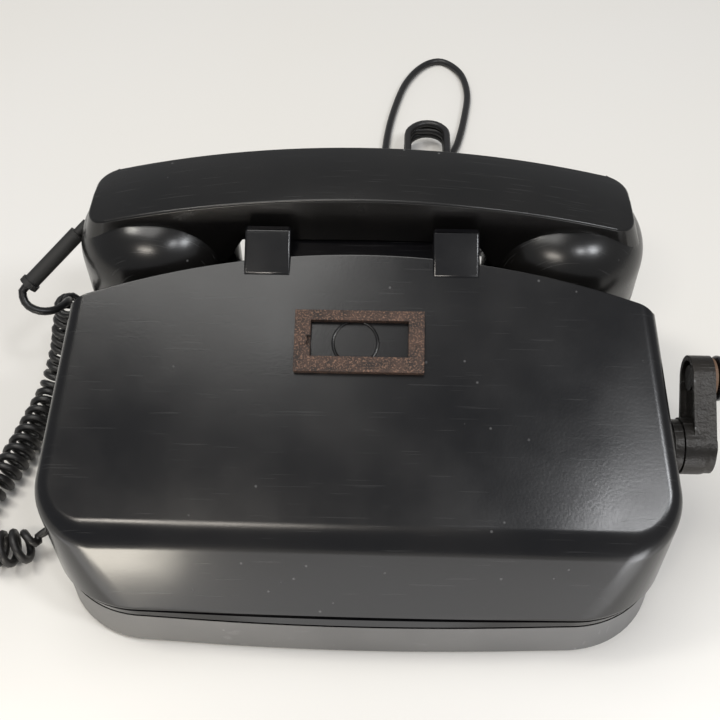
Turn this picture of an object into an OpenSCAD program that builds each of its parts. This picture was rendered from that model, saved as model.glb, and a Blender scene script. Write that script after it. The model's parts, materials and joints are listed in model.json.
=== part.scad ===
// Magneto desk telephone: moulded body with a sloping face, handset on
// a two-prong cradle, ringing crank on the right-hand side.
// X runs along the handset, Y to the back, Z up. The origin is under the
// middle of the whole object, on the surface that the feet stand on.

/* [Body] */
// Width of the body at the foot of its side walls
body_w = 244; // [225:0.1:300]
// Depth of the body, front to back, at the foot of its walls
body_d = 187.1; // [180:0.1:235]
// Wall thickness of the moulded body
wall = 4; // [3:0.5:5]
// Corner radius of the plan at the front
front_r = 40; // [30:1:55]
// Corner radius of the plan at the back
rear_r = 38; // [25:1:45]
// How far the front wall bows forward at its middle
front_bow = 2.4; // [1:0.1:5]
// Angle at which the side walls close in towards the back
side_taper = 5; // [3:0.5:6]
// Inward lean of the side walls
side_draft = 2.6; // [1:0.1:3.5]
// Backward lean of the front wall above the joint
front_lean = 20.2; // [3:0.1:24]
// Height of the joint between the base and the body
seam_z = 24.4; // [18:0.1:28]
// Angle of the sloping face above level
slope_angle = 26.9; // [24:0.1:28]
// Distance of the crest behind the front wall's foot
crest_back = 112.2; // [108:0.1:120]
// Height of the crest at its middle
crest_z = 112.8; // [108:0.1:118]
// How far the crest comes forward at the side walls
crest_fall = 21; // [14:0.1:26]
// Radius of the rolled edge between the slope and the front wall
edge_r = 12; // [8:1:16]
// Height of the shelf behind the crest, where it meets the crest wall
shelf_z = 56; // [50:0.5:57]
// Fall of the shelf from the crest to the back
shelf_fall = 16; // [10:1:18]

/* [Base] */
// Height of the rubber feet
foot_h = 2; // [1.5:0.5:4]
// Radius of the feet
foot_r = 8; // [6:1:10]
// Thickness of the base floor
floor_t = 2.5; // [2:0.5:3]
// Width of the bead above the joint
bead_h = 3.2; // [1.2:0.1:4]

/* [Cradle] */
// Distance of each prong's middle from the centre
prong_x = 36.5; // [34:0.5:38]
// Width of each prong
prong_w = 18; // [14:0.5:19]
// Height of the prongs above the saddle
prong_h = 11.4; // [10:0.1:18]
// Thickness of each prong at its top
prong_t = 3.8; // [3:0.1:6]
// Fall of each front prong's back from its tip to the handle
prong_drop = 4; // [2:0.5:5]
// Thickness of the prongs behind the handle
rear_t = 8.5; // [7:0.5:9]
// Half width of the cradle block
cradle_half = 46.5; // [46:0.5:47]
// Clearance between the saddle and the handset's handle
saddle_gap = 1.1; // [1:0.1:1.5]
// Distance of the hook plungers from the centre
plunger_x = 25; // [22:0.5:25.5]
// Radius of the hook plungers
plunger_r = 3.5; // [3:0.1:4]
// Travel of the hook plungers
hook_travel = 4.5; // [3:0.5:5]

/* [Handset] */
// Length of the handset over its caps
handset_l = 236; // [232:1:240]
// Width of the handle
handle_w = 34; // [30:0.5:35]
// Thickness of the handle at its middle
handle_t = 22; // [20:0.5:24]
// Fall of the handle's back from its middle to its ends
handle_sag = 14.6; // [12:0.1:16]
// Height of the ridge above the handle's edges
ridge_h = 2; // [1:0.1:3]
// Radius of the cups and caps
cup_r = 33; // [31:0.5:34]
// Height of the caps
cap_h = 20; // [16:0.5:22]
// Sideways play by which the handset lies off centre
handset_x = -1.5; // [-1.5:0.1:1.5]
// Wall thickness of the cups
cup_wall = 3.5; // [3:0.25:4]
// Distance of the caps' faces below the handle's top
handset_h = 73; // [70:0.5:74]

/* [Card frame] */
// Width of the card frame
frame_w = 49; // [40:1:56]
// Height of the card frame along the slope
frame_d = 24; // [20:1:28]
// Height by which the frame stands off the slope
frame_t = 3.2; // [2:0.1:4]
// Distance of the frame's middle down the slope from the crest
frame_down = 36; // [30:1:50]

/* [Crank] */
// Distance of the crank shaft behind the front wall's foot
shaft_back = 65.1; // [63:0.1:72]
// Height of the crank shaft
shaft_z = 56; // [54:0.5:57]
// Radius of the crank shaft
shaft_r = 4; // [3.5:0.1:4.5]
// Distance between the crank's shaft and its knob
crank_throw = 27; // [24:0.5:34]
// Angle of the crank arm above level
crank_angle = 38; // [0:1:90]
// Radius of the bushing outside the body
bush_r = 10.5; // [9:0.5:11]
// Length of the bushing outside the body
bush_out = 10; // [8:0.1:18]
// Radius of the crank's hub
hub_r = 11.2; // [10:0.1:13]
// Length of the crank's hub
hub_l = 12; // [11:0.5:16]
// Thickness of the crank's arm
arm_t = 8.5; // [6:0.5:9]
// Length of the crank's knob
knob_l = 30; // [24:1:40]
// Radius of the knob at its foot
knob_r = 9.3; // [8:0.1:11]

/* [Generator] */
// Number of teeth on the drive gear
gear_n = 41; // [39:1:42]
// Number of teeth on the pinion
pinion_n = 12; // [12:1:13]
// Tooth module of both gears
gear_m = 1; // [0.95:0.01:1.02]
// Face width of both gears
gear_t = 5; // [4:0.5:5]
// Radius of the rotating armature
rotor_r = 13; // [11:0.5:13]
// Thickness of the horseshoe magnets
magnet_t = 9; // [7:0.5:9]
// Number of horseshoe magnets
magnet_n = 3; // [2:1:3]

/* [Ringer] */
// Radius of the gongs
gong_r = 24; // [21:0.5:24.5]
// Thickness of the gongs
gong_t = 1.5; // [1:0.1:2]
// Radius of the clapper's ball
ball_r = 3.2; // [2.5:0.1:3.2]
// Gap between the rims of the two gongs
gong_gap = 10; // [10:0.5:12]
// Radius of the ringer's coils
coil_r = 9; // [7:0.5:9.5]

/* [Cords] */
// Outer diameter of the handset cord's curls
curl_d = 14.7; // [12:0.1:15]
// Diameter of the handset cord itself
cord_d = 3.5; // [3:0.1:3.8]
// Diameter of the line cord
line_d = 4.4; // [4:0.1:5]

/* [Hidden] */
$fn = 48;
e = 0.01;

half_w = body_w / 2;
rear_y = body_d / 2 - 0.65;
front_y = rear_y - body_d - 0.5;
k_draft = tan(side_draft);
k_slope = tan(slope_angle);
crest_y = front_y + crest_back;
taper_y = front_y + front_r;
crest_r = (pow(half_w, 2) + pow(crest_fall, 2)) / (2 * crest_fall);
floor_z = foot_h + floor_t;
function slope_z(y) = crest_z + k_slope * (y - crest_y);
function shelf_at(y) = shelf_z - shelf_fall * (y - crest_y) / (rear_y - crest_y);
function side_x(y, z) = half_w - k_draft * z
  - tan(side_taper) * max(0, y - taper_y - 2);

// handset levels, all from the saddle up
saddle_z = crest_z - 4.9;
handle_low = saddle_z + saddle_gap;
ridge_z = handle_low + handle_t;
face_z = ridge_z - handset_h;
cap_top = face_z + cap_h;
cup_x = handset_l / 2 - cup_r;
hand_y = crest_y + 29;
sag_r = (pow(cup_x + 24, 2) + pow(handle_sag, 2)) / (2 * handle_sag);
under_r = 1500;
dome_r = 24;
dome_c = cup_r - dome_r;
dome_z = cap_top + 14;

// crank and generator levels
shaft_y = front_y + shaft_back;
bush_x = side_x(shaft_y, shaft_z) - 1.4;
hub_x = bush_x + bush_out + 0.4;
arm_x = hub_x + hub_l - arm_t;
out_x = hub_x + hub_l;
knob_x = out_x + 1.9;
end_x = knob_x + knob_l + 2.2;
knob_y = shaft_y + crank_throw * cos(crank_angle);
knob_z = shaft_z + crank_throw * sin(crank_angle);
run = 0.05;
mesh_d = gear_m * (gear_n + pinion_n) / 2;
rotor_back = 1;
rotor_y = shaft_y + rotor_back;
rotor_z = shaft_z - sqrt(pow(mesh_d, 2) - pow(rotor_back, 2));
boss_in = 4.6;
gear_x1 = bush_x - boss_in - 6;
gear_x0 = gear_x1 - gear_t;
plate_t = 2;
plate_x1 = gear_x0 - 1.5;
magnet_w = 12;
plate_x0 = plate_x1 - 2 * plate_t - magnet_n * (magnet_w + 1) - 1;
gap_r = rotor_r + 0.4;
leg_in = 19;
arch_z = rotor_z + 20;
arch_r = leg_in + magnet_t;

// ringer levels
ring_z = floor_z + 25.5;
ring_y = front_y + 73.9;
ring_x = -half_w + 39.4;
gong_y = gong_r + gong_gap / 2;
pivot_x = ring_x + 25.5;
coil_y = coil_r + 6;

// shift that centres the whole object, crank included, on X = 0
shift_x = (half_w - 0.5 - end_x) / 2;

screw_sites = [[half_w - 11.4, front_y + 31.9], [-half_w + 11.4, front_y + 31.9],
  [half_w - 17.9, rear_y - 27.3], [-half_w + 17.9, rear_y - 27.3]];
boss_r = 5;

// points of a round corner of radius r at p, between a and b
function unit2(v) = v / norm(v);
function corner(a, p, b, r, n = 8) =
  let (u = unit2(a - p), v = unit2(b - p),
       h = acos(u * v) / 2, c = p + unit2(u + v) * (r / sin(h)),
       s = p + u * (r / tan(h)) - c, t = p + v * (r / tan(h)) - c,
       a0 = atan2(s[1], s[0]), d = atan2(t[1], t[0]) - a0,
       w = d > 180 ? d - 360 : (d < -180 ? d + 360 : d))
  [for (i = [0:n]) c + r * [cos(a0 + w * i / n), sin(a0 + w * i / n)]];

function arc(c, r, a0, a1, n) =
  [for (i = [0:n]) c + r * [cos(a0 + (a1 - a0) * i / n), sin(a0 + (a1 - a0) * i / n)]];

// circles that the plan outline is drawn around
bow_r = (pow(half_w - front_r, 2) + pow(front_bow, 2)) / (2 * front_bow);
fx = half_w - front_r;
fy = front_y + bow_r - sqrt(pow(bow_r - front_r, 2) - pow(fx, 2));
bow_a = asin(fx / (bow_r - front_r));
ry = rear_y - rear_r;
rx = fx + (front_r - rear_r - (ry - fy) * sin(side_taper)) / cos(side_taper);

// plan outline, drawn inwards by o
module plan(o) {
  right = concat(arc([0, front_y + bow_r], bow_r - o, -90, -90 + bow_a, 4),
    [for (i = [1:14]) arc([fx, fy], front_r - o, -90 + bow_a, side_taper, 14)[i]],
    arc([rx, ry], rear_r - o, side_taper, 90, 12));
  n = len(right);
  polygon(concat(right, [for (i = [n - 1:-1:1]) [-right[i][0], right[i][1]]]));
}

// a profile given as [y, z] pairs, run along X and centred
module along_x(pts, w) {
  rotate([90, 0, 90]) translate([0, 0, -w / 2]) linear_extrude(w) polygon(pts);
}

// full block of the body's plan, cut by its leaning sides
module drafted(o, z0) {
  intersection() {
    translate([0, 0, z0]) linear_extrude(130) plan(o);
    translate([half_w - o, fy, 0]) rotate([0, 0, side_taper])
      rotate([0, -side_draft, 0]) translate([-500, -300, -50]) cube([500, 600, 300]);
    translate([-half_w + o, fy, 0]) rotate([0, 0, -side_taper])
      rotate([0, side_draft, 0]) translate([0, -300, -50]) cube([500, 600, 300]);
  }
}

// front part under the slope, back to the crest wall
module wedge(o, z0) {
  k = tan(front_lean);
  f = o / cos(front_lean);
  d = o / cos(slope_angle);
  fy = function (z) front_y + f + k * (z - seam_z);
  sz = function (y) slope_z(y) - d;
  ey = (front_y + f + k * (crest_z - seam_z - d - k_slope * crest_y)) / (1 - k * k_slope);
  p = [ey, sz(ey)];
  r = edge_r - o / 2;
  intersection() {
    drafted(o, z0);
    along_x(concat([[fy(z0), z0]],
      corner([fy(z0), z0], p, [40, sz(40)], r), [[40, sz(40)], [40, z0]]), 2 * half_w);
    translate([0, crest_y - crest_r, z0]) cylinder(r = crest_r - o, h = 140, $fn = 360);
  }
}

// low part behind the crest
module shelf(o, z0) {
  y0 = front_y + 60;
  intersection() {
    drafted(o, z0);
    along_x([[y0, z0], [rear_y + 5, z0], [rear_y + 5, shelf_at(rear_y + 5) - o],
      [y0, shelf_at(y0) - o]], 2 * half_w);
  }
}

// block that carries the handset
module cradle(o, z0) {
  w = cradle_half - o;
  y0 = crest_y - (o > 0 ? 8 : 6);
  translate([-w, y0, z0]) cube([2 * w, hand_y + handle_w / 2 + 11 - y0 - o, saddle_z - o - z0]);
}

module prongs() {
  yb = hand_y - handle_w / 2 - 1.2;
  top = saddle_z + prong_h;
  yp = crest_y - 8.6;
  yr = hand_y + handle_w / 2 + 1.4;
  for (s = [-1, 1]) translate([s * prong_x, 0, 0]) {
    along_x(concat([[yp, slope_z(yp) - 2], [yp, slope_z(yp)]],
      corner([yp, slope_z(yp)], [yb - prong_t, top], [yb, top - prong_drop], 1.6, 4),
      [[yb, top - prong_drop], [yb, saddle_z - 2]]), prong_w);
    along_x(concat([[yr, saddle_z - 2], [yr, top - 2]],
      corner([yr, top - 2], [yr + rear_t, top - 2], [yr + rear_t, saddle_z - 2], 3, 4),
      [[yr + rear_t, saddle_z - 2]]), prong_w);
  }
}

module at_slope(down) {
  y = crest_y - down * cos(slope_angle);
  translate([0, y, slope_z(y)]) rotate([slope_angle, 0, 0]) children();
}

module housing() color([0.07, 0.07, 0.08]) difference() {
  union() {
    difference() {
      union() {
        wedge(0, seam_z);
        shelf(0, seam_z);
        cradle(0, seam_z);
        prongs();
      }
      wedge(wall, seam_z - e);
      shelf(wall, seam_z - e);
      cradle(wall, seam_z - e);
      // groove above the bead
      translate([0, 0, seam_z + bead_h]) linear_extrude(1) difference() {
        translate([-200, -200]) square(400);
        plan(0.8);
      }
    }
    intersection() {
      union() {
        wedge(0.5, seam_z);
        shelf(0.5, seam_z);
      }
      union() {
        for (p = screw_sites) translate([p[0], p[1], seam_z])
          cylinder(r = boss_r, h = 20);
        // thick spot inside the wall for the crank's bushing
        translate([bush_x - boss_in, shaft_y, shaft_z]) rotate([0, 90, 0])
          cylinder(r = 12.5, h = 8);
      }
    }
  }
  for (p = screw_sites) translate([p[0], p[1], seam_z - 1]) cylinder(r = 1.9, h = 14);
  // spot face and bore for the bushing
  translate([bush_x, shaft_y, shaft_z]) rotate([0, 90, 0]) cylinder(r = bush_r + 0.2, h = 9);
  translate([bush_x - 9, shaft_y, shaft_z]) rotate([0, 90, 0]) cylinder(r = 7, h = 14);
  for (s = [-1, 1]) translate([s * plunger_x, hand_y - 3, saddle_z - 8])
    cylinder(r = plunger_r + 0.35, h = 16);
  for (s = [-1, 1], y = [-8, 8]) translate([s * 39, hand_y + y, saddle_z - wall - 1])
    cylinder(r = 1.3, h = 3.5);
  // moulded ring inside the card frame, and the frame's rivet holes
  at_slope(frame_down) translate([-1.5, 0, -0.7]) difference() {
    cylinder(r = 9, h = 2);
    translate([0, 0, -1]) cylinder(r = 8, h = 4);
  }
  at_slope(frame_down) for (s = [-1, 1])
    translate([s * (frame_w / 2 - 3), 0, -8]) cylinder(r = 1.25, h = 16);
}

module housing_screws() color("silver") for (p = screw_sites)
  translate([p[0], p[1], 0]) {
    translate([0, 0, foot_h + 0.6]) cylinder(r = 1.85, h = seam_z + 11 - foot_h);
    translate([0, 0, foot_h + 0.4]) difference() {
      cylinder(r = 3.6, h = 1.9);
      translate([-4, -0.4, -e]) cube([8, 0.8, 0.8]);
    }
  }

foot_sites = [[84, front_y + 32.3], [-84, front_y + 32.3], [78, rear_y - 25], [-78, rear_y - 25]];
grom_y = taper_y + 7.3;
grom_z = foot_h + 10.5;
line_x = 14;

module base_pan() color([0.08, 0.08, 0.09]) difference() {
  union() {
    difference() {
      translate([0, 0, foot_h]) linear_extrude(seam_z - foot_h) plan(0.5);
      translate([0, 0, floor_z]) linear_extrude(seam_z) plan(0.5 + wall);
      translate([0, 0, seam_z - 0.9]) linear_extrude(1) difference() {
        translate([-200, -200]) square(400);
        plan(1.5);
      }
    }
    intersection() {
      translate([0, 0, foot_h]) linear_extrude(seam_z - foot_h) plan(2);
      for (p = screw_sites) translate([p[0], p[1], foot_h]) cylinder(r = boss_r, h = 40);
    }
  }
  for (p = screw_sites) translate([p[0], p[1], 0]) {
    cylinder(r = 2.1, h = 40);
    translate([0, 0, foot_h - 1]) cylinder(r = 4, h = 3.3);
  }
  for (p = foot_sites) translate([p[0], p[1], 0]) cylinder(r = 3, h = 10);
  translate([-half_w - 5, grom_y, grom_z]) rotate([0, 90, 0]) cylinder(r = 4.5, h = 15);
  translate([line_x, rear_y - 10, grom_z]) rotate([-90, 0, 0]) cylinder(r = 5, h = 15);
}

module feet() color([0.12, 0.12, 0.12]) for (p = foot_sites) translate([p[0], p[1], 0]) {
  cylinder(r = foot_r, h = foot_h);
  cylinder(r = 3, h = floor_z);
  translate([0, 0, floor_z]) cylinder(r = 4, h = 1.2);
}

module card_frame() color([0.36, 0.22, 0.15]) at_slope(frame_down) difference() {
  translate([-frame_w / 2, -frame_d / 2, 0]) cube([frame_w, frame_d, frame_t]);
  translate([-frame_w / 2 + 6, -frame_d / 2 + 6, -1]) cube([frame_w - 12, frame_d - 10, 9]);
  // channel that the card slides in
  translate([-frame_w / 2 + 4.6, -frame_d / 2 + 4.4, frame_t / 2 - 0.4])
    cube([frame_w - 9.2, frame_d - 7, 0.8]);
  for (s = [-1, 1]) translate([s * (frame_w / 2 - 3), 0, -1]) cylinder(r = 1.2, h = 12);
  translate([-frame_w / 2 + 5, -1.5, frame_t / 2]) cube([3, 3, frame_t]);
}

module frame_rivets() color([0.3, 0.19, 0.13]) at_slope(frame_down) for (s = [-1, 1])
  translate([s * (frame_w / 2 - 3), 0, 0]) {
    translate([0, 0, -wall]) cylinder(r = 1.2, h = wall + frame_t);
    translate([0, 0, -wall - 1]) cylinder(r = 2.2, h = 1);
    translate([0, 0, frame_t]) cylinder(r = 1.7, h = 0.3);
  }

// ---- crank ----
module x_cyl(x0, x1, r, y = shaft_y, z = shaft_z) {
  translate([x0, y, z]) rotate([0, 90, 0]) cylinder(r = r, h = x1 - x0);
}

module crank_bushing() color([0.16, 0.15, 0.15]) difference() {
  union() {
    x_cyl(bush_x, bush_x + bush_out, bush_r);
    x_cyl(bush_x - boss_in - 3.4, bush_x + 1, 6.9);
  }
  x_cyl(bush_x - 20, bush_x + 40, shaft_r + run);
  // groove around the outer end
  translate([bush_x + bush_out - 5, shaft_y, shaft_z]) rotate([0, 90, 0]) difference() {
    cylinder(r = bush_r + 1, h = 1.6);
    translate([0, 0, -1]) cylinder(r = bush_r - 1.2, h = 4);
  }
}

module bushing_nut() color("silver") difference() {
  x_cyl(bush_x - boss_in - 3, bush_x - boss_in, 10.4);
  x_cyl(bush_x - 20, bush_x, 6.95);
  for (a = [0:60:300]) translate([0, shaft_y, shaft_z]) rotate([a, 0, 0])
    translate([bush_x - 20, 9, -10]) cube([30, 5, 20]);
}

module crank_shaft() color([0.5, 0.5, 0.52]) x_cyl(plate_x0 - 4, out_x - 2.6, shaft_r);

function gear_pts(n) = let (p = n * gear_m / 2, w = 360 / n)
  [for (i = [0:n - 1], q = [[p - 1.15, -0.29], [p + 0.78, -0.12], [p + 0.78, 0.12], [p - 1.15, 0.29]])
    q[0] * [cos((i + q[1]) * w), sin((i + q[1]) * w)]];

module gear(n, bore, turn) {
  rotate([0, 90, 0]) linear_extrude(gear_t) difference() {
    rotate(turn) polygon(gear_pts(n));
    circle(bore);
  }
}

// direction of the line of centres, seen along the gears' own axes
mesh_a = atan2(rotor_y - shaft_y, -(rotor_z - shaft_z));
module drive_gear() color([0.72, 0.58, 0.3]) translate([gear_x0, shaft_y, shaft_z])
  difference() {
    gear(gear_n, shaft_r, mesh_a);
    for (a = [0:60:300]) rotate([a, 0, 0]) translate([-1, 12, 0]) rotate([0, 90, 0])
      cylinder(r = 3.2, h = gear_t + 2);
  }

module pinion() color([0.72, 0.58, 0.3]) translate([gear_x0, rotor_y, rotor_z])
  gear(pinion_n, 3, mesh_a + 180 + 180 / pinion_n);

module arm_plan(r1, r2) {
  b = 90 - asin((r1 - r2) / crank_throw);
  polygon(concat(arc([0, 0], r1, b, 360 - b, 24), arc([crank_throw, 0], r2, -b, b, 20)));
}

// local frame: X along the arm, Z outwards along the shaft
module on_crank(x) {
  translate([x, shaft_y, shaft_z]) rotate([crank_angle, 0, 0])
    multmatrix([[0, 0, 1, 0], [1, 0, 0, 0], [0, 1, 0, 0], [0, 0, 0, 1]]) children();
}

module crank_arm() color([0.15, 0.14, 0.13]) difference() {
  union() {
    x_cyl(hub_x, out_x - 0.3, hub_r);
    on_crank(arm_x) linear_extrude(arm_t) arm_plan(hub_r - 0.4, 9);
  }
  on_crank(arm_x - 1) linear_extrude(3) difference() {
    arm_plan(hub_r - 2.4, 6.9);
    circle(hub_r + 1.2, $fn = 60);
  }
  x_cyl(hub_x - 1, out_x + 1, shaft_r);
  on_crank(arm_x - 1) translate([crank_throw, 0, 0]) cylinder(r = 3.2, h = 20);
}

module crank_screw() color([0.3, 0.28, 0.26]) difference() {
  union() {
    x_cyl(out_x - 2.6, out_x, shaft_r);
    x_cyl(out_x, out_x + 2, 5.6);
  }
  translate([out_x + 1.2, shaft_y - 6, shaft_z - 0.6]) cube([2, 12, 1.2]);
}

module knob_spindle() color([0.42, 0.38, 0.34]) {
  x_cyl(arm_x + 0.8, end_x - 2.2, 3.2, knob_y, knob_z);
  x_cyl(arm_x + 0.8, arm_x + 2, 5, knob_y, knob_z);
  x_cyl(end_x - 2, end_x, 5, knob_y, knob_z);
  x_cyl(end_x - 3, end_x - 2, 3.2, knob_y, knob_z);
}

module knob_washer() color([0.42, 0.3, 0.2]) difference() {
  x_cyl(out_x, out_x + 1.5, 8, knob_y, knob_z);
  x_cyl(out_x - 1, out_x + 3, 3.2, knob_y, knob_z);
}

module crank_knob() color([0.08, 0.07, 0.07])
  translate([knob_x, knob_y, knob_z]) rotate([0, 90, 0]) difference() {
    rotate_extrude() polygon(concat([[0, 0]],
      corner([0, 0], [knob_r, 0], [knob_r - 1.4, knob_l * 0.35], 1.2, 4),
      [[knob_r - 1.4, knob_l * 0.35]],
      corner([knob_r - 1.4, knob_l * 0.35], [knob_r + 1.6, knob_l], [0, knob_l], 4, 6),
      [[0, knob_l]]));
    translate([0, 0, -1]) cylinder(r = 3.2 + run, h = knob_l + 2);
  }

// ---- generator ----
module magneto_frame() color([0.55, 0.53, 0.48]) difference() {
  union() {
    for (x = [plate_x0, plate_x1 - plate_t]) translate([x + plate_t / 2, 0, 0])
      along_x([[rotor_y - 28, floor_z], [rotor_y + 28, floor_z], [rotor_y + 28, shaft_z - 8],
        [rotor_y + 20, shaft_z + 12], [shaft_y - 9, shaft_z + 12],
        [rotor_y - 28, shaft_z + 2]], plate_t);
    translate([plate_x0 + e, rotor_y - 28, floor_z])
      cube([plate_x1 - plate_x0 - 2 * e, 56, 1.5]);
    for (s = [-1, 1]) translate([(s > 0 ? plate_x0 - 9 : plate_x0 - 9), rotor_y + s * 20 - 5, floor_z])
      cube([10, 10, 1.5]);
  }
  x_cyl(plate_x0 - 5, plate_x1 + 5, shaft_r + run);
  x_cyl(plate_x0 - 5, plate_x1 + 5, 3 + run, rotor_y, rotor_z);
  for (s = [-1, 1]) translate([plate_x0 - 5, rotor_y + s * 20, 0]) cylinder(r = 1.6, h = 20);
}

module magneto_screws() color("silver") for (s = [-1, 1])
  translate([plate_x0 - 5, rotor_y + s * 20, floor_z]) {
    cylinder(r = 1.6, h = 1.5);
    translate([0, 0, 1.5]) cylinder(r = 3, h = 2);
  }

module magnets() color([0.2, 0.2, 0.22]) for (i = [0:magnet_n - 1])
  translate([plate_x0 + plate_t + 1 + i * (magnet_w + 1), 0, 0]) {
    x0 = 0;
    intersection() {
      difference() {
        x_cyl(x0, x0 + magnet_w, arch_r, rotor_y, arch_z);
        x_cyl(x0 - 1, x0 + magnet_w + 1, leg_in, rotor_y, arch_z);
      }
      translate([-1, rotor_y - 60, arch_z]) cube([magnet_w + 2, 120, 60]);
    }
    for (s = [-1, 1]) translate([0, rotor_y + (s > 0 ? leg_in : -arch_r), floor_z + 7])
      cube([magnet_w, magnet_t, arch_z - floor_z - 7]);
  }

module pole_shoes() color([0.4, 0.4, 0.42]) difference() {
  for (s = [-1, 1]) translate([plate_x0 + plate_t, rotor_y + (s > 0 ? 3 : -leg_in), rotor_z - 15])
    cube([plate_x1 - plate_x0 - 2 * plate_t, leg_in - 3, 30]);
  x_cyl(plate_x0, plate_x1, gap_r, rotor_y, rotor_z);
}

rx0 = plate_x0 + plate_t + 2;
rx1 = plate_x1 - plate_t - 2;
module rotor() color([0.45, 0.45, 0.47]) difference() {
  x_cyl(rx0, rx1, rotor_r, rotor_y, rotor_z);
  x_cyl(rx0 - 1, rx1 + 1, 3, rotor_y, rotor_z);
  for (s = [-1, 1]) translate([rx0 - 1, rotor_y - 6, rotor_z + (s > 0 ? 4.5 : -20)])
    cube([rx1 - rx0 + 2, 12, 15.5]);
}

module rotor_winding() color([0.5, 0.28, 0.14]) for (s = [-1, 1])
  translate([rx0, rotor_y - 6, rotor_z + (s > 0 ? 4.5 : -9.5)]) cube([rx1 - rx0, 12, 5]);

module rotor_shaft() color([0.6, 0.6, 0.62])
  x_cyl(plate_x0 - 3, gear_x1 + 1.5, 3, rotor_y, rotor_z);

// ---- ringer ----
arm_z0 = ring_z - coil_r - 4;
arm_z1 = ring_z + coil_r + 2;
yoke_x = pivot_x + 28;
module ringer_frame() color([0.55, 0.55, 0.5]) difference() {
  union() {
    translate([pivot_x + 5, ring_y - 24, floor_z]) cube([30, 48, 1.5]);
    translate([yoke_x, ring_y - 24, floor_z]) cube([2.5, 48, ring_z + coil_r - floor_z + 4]);
    for (z = [arm_z0, arm_z1]) translate([pivot_x - 4, ring_y - 4, z])
      cube([yoke_x - pivot_x + 5, 8, 2]);
  }
  translate([pivot_x, ring_y, 0]) cylinder(r = 1.5, h = 100);
  for (s = [-1, 1]) translate([yoke_x - 5, ring_y + s * coil_y, ring_z]) rotate([0, 90, 0])
    cylinder(r = 2.5, h = 10);
}

module ringer_coils() color([0.45, 0.2, 0.12]) for (s = [-1, 1])
  translate([0, ring_y + s * coil_y, ring_z]) rotate([0, 90, 0]) {
    translate([0, 0, pivot_x + 4.5]) cylinder(r = 3.5, h = 1.5);
    translate([0, 0, pivot_x + 6]) cylinder(r = coil_r, h = 1.2);
    translate([0, 0, pivot_x + 7.2]) cylinder(r = coil_r - 0.8, h = 19.6);
    translate([0, 0, pivot_x + 26.8]) cylinder(r = coil_r, h = 1.2);
    translate([0, 0, pivot_x + 28]) cylinder(r = 2.5, h = 3.5);
  }

module ringer_pin() color("silver") translate([pivot_x, ring_y, arm_z0 - 1])
  cylinder(r = 1.5, h = arm_z1 - arm_z0 + 4);

module clapper() color([0.5, 0.5, 0.5]) difference() {
  union() {
    translate([pivot_x, ring_y, ring_z - 6]) cylinder(r = 3.6, h = 12);
    translate([pivot_x - 1.5, ring_y - coil_y - 5, ring_z - 5]) cube([3, 2 * coil_y + 10, 10]);
    x_cyl(ring_x + 1, pivot_x - 2.6, 1, ring_y, ring_z);
    translate([ring_x, ring_y, ring_z]) rotate([0, 90, 0]) rotate_extrude()
      polygon(arc([0, 0], ball_r, -90, 90, 16));
  }
  translate([pivot_x, ring_y, 0]) cylinder(r = 1.5 + run, h = 80);
}

module gongs() color([0.7, 0.55, 0.3]) for (s = [-1, 1])
  translate([ring_x, ring_y + s * gong_y, ring_z - 4]) rotate_extrude() difference() {
    union() {
      square([gong_r, 1.5]);
      translate([0, 1.5]) square([gong_r - 14, 14]);
      intersection() {
        translate([gong_r - 14, 1.5]) circle(14);
        translate([0, 1.5]) square(40);
      }
    }
    square([1.9, 40]);
    translate([0, -1]) square([gong_r - gong_t, 2.5]);
    translate([0, 1.5]) square([gong_r - 14, 14 - gong_t]);
    intersection() {
      translate([gong_r - 14, 1.5]) circle(14 - gong_t);
      translate([0, 1.5]) square(40);
    }
  }

gong_top = ring_z - 4 + 15.5;
module gong_posts() color([0.6, 0.6, 0.6]) for (s = [-1, 1])
  translate([ring_x, ring_y + s * gong_y, floor_z]) difference() {
    union() {
      cylinder(r = 4, h = gong_top - gong_t - floor_z);
      cylinder(r = 7, h = 2);
    }
    translate([0, 0, 6]) cylinder(r = 1.6, h = 50);
  }

module gong_screws() color("silver") for (s = [-1, 1])
  translate([ring_x, ring_y + s * gong_y, gong_top]) {
    translate([0, 0, -10]) cylinder(r = 1.6, h = 10);
    difference() {
      cylinder(r = 3.6, h = 2.2);
      translate([-5, -0.5, 1.3]) cube([10, 1, 2]);
    }
  }

// ---- circuit ----
ind_y = hand_y - 11;
module induction_coil() color([0.25, 0.15, 0.1]) {
  for (x = [-27, 34]) translate([x, ind_y - 11, floor_z]) cube([3, 22, 23]);
  translate([-29, ind_y, floor_z + 12]) rotate([0, 90, 0]) cylinder(r = 3, h = 68);
}
module induction_winding() color([0.5, 0.3, 0.15]) translate([-24, ind_y, floor_z + 12])
  rotate([0, 90, 0]) difference() {
    cylinder(r = 9.5, h = 58);
    translate([0, 0, -1]) cylinder(r = 3, h = 60);
  }
module capacitor() color([0.6, 0.6, 0.58]) {
  translate([-62, rear_y - 40, floor_z]) cube([40, 24, 20]);
  for (x = [-50, -34]) translate([x, rear_y - 28, floor_z + 20]) cylinder(r = 2, h = 3);
}
term_x = [12, 24, 36, 48, 60];
module terminal_block() color([0.1, 0.08, 0.07]) difference() {
  union() {
    translate([term_x[0] - 6, rear_y - 38, floor_z]) cube([60, 20, 8]);
    for (x = [for (i = [0:3]) term_x[i] + 6]) translate([x - 0.75, rear_y - 38, floor_z + 8]) cube([1.5, 20, 3]);
  }
  for (x = term_x) translate([x, rear_y - 28, floor_z + 2]) cylinder(r = 1.5, h = 20);
}
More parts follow.
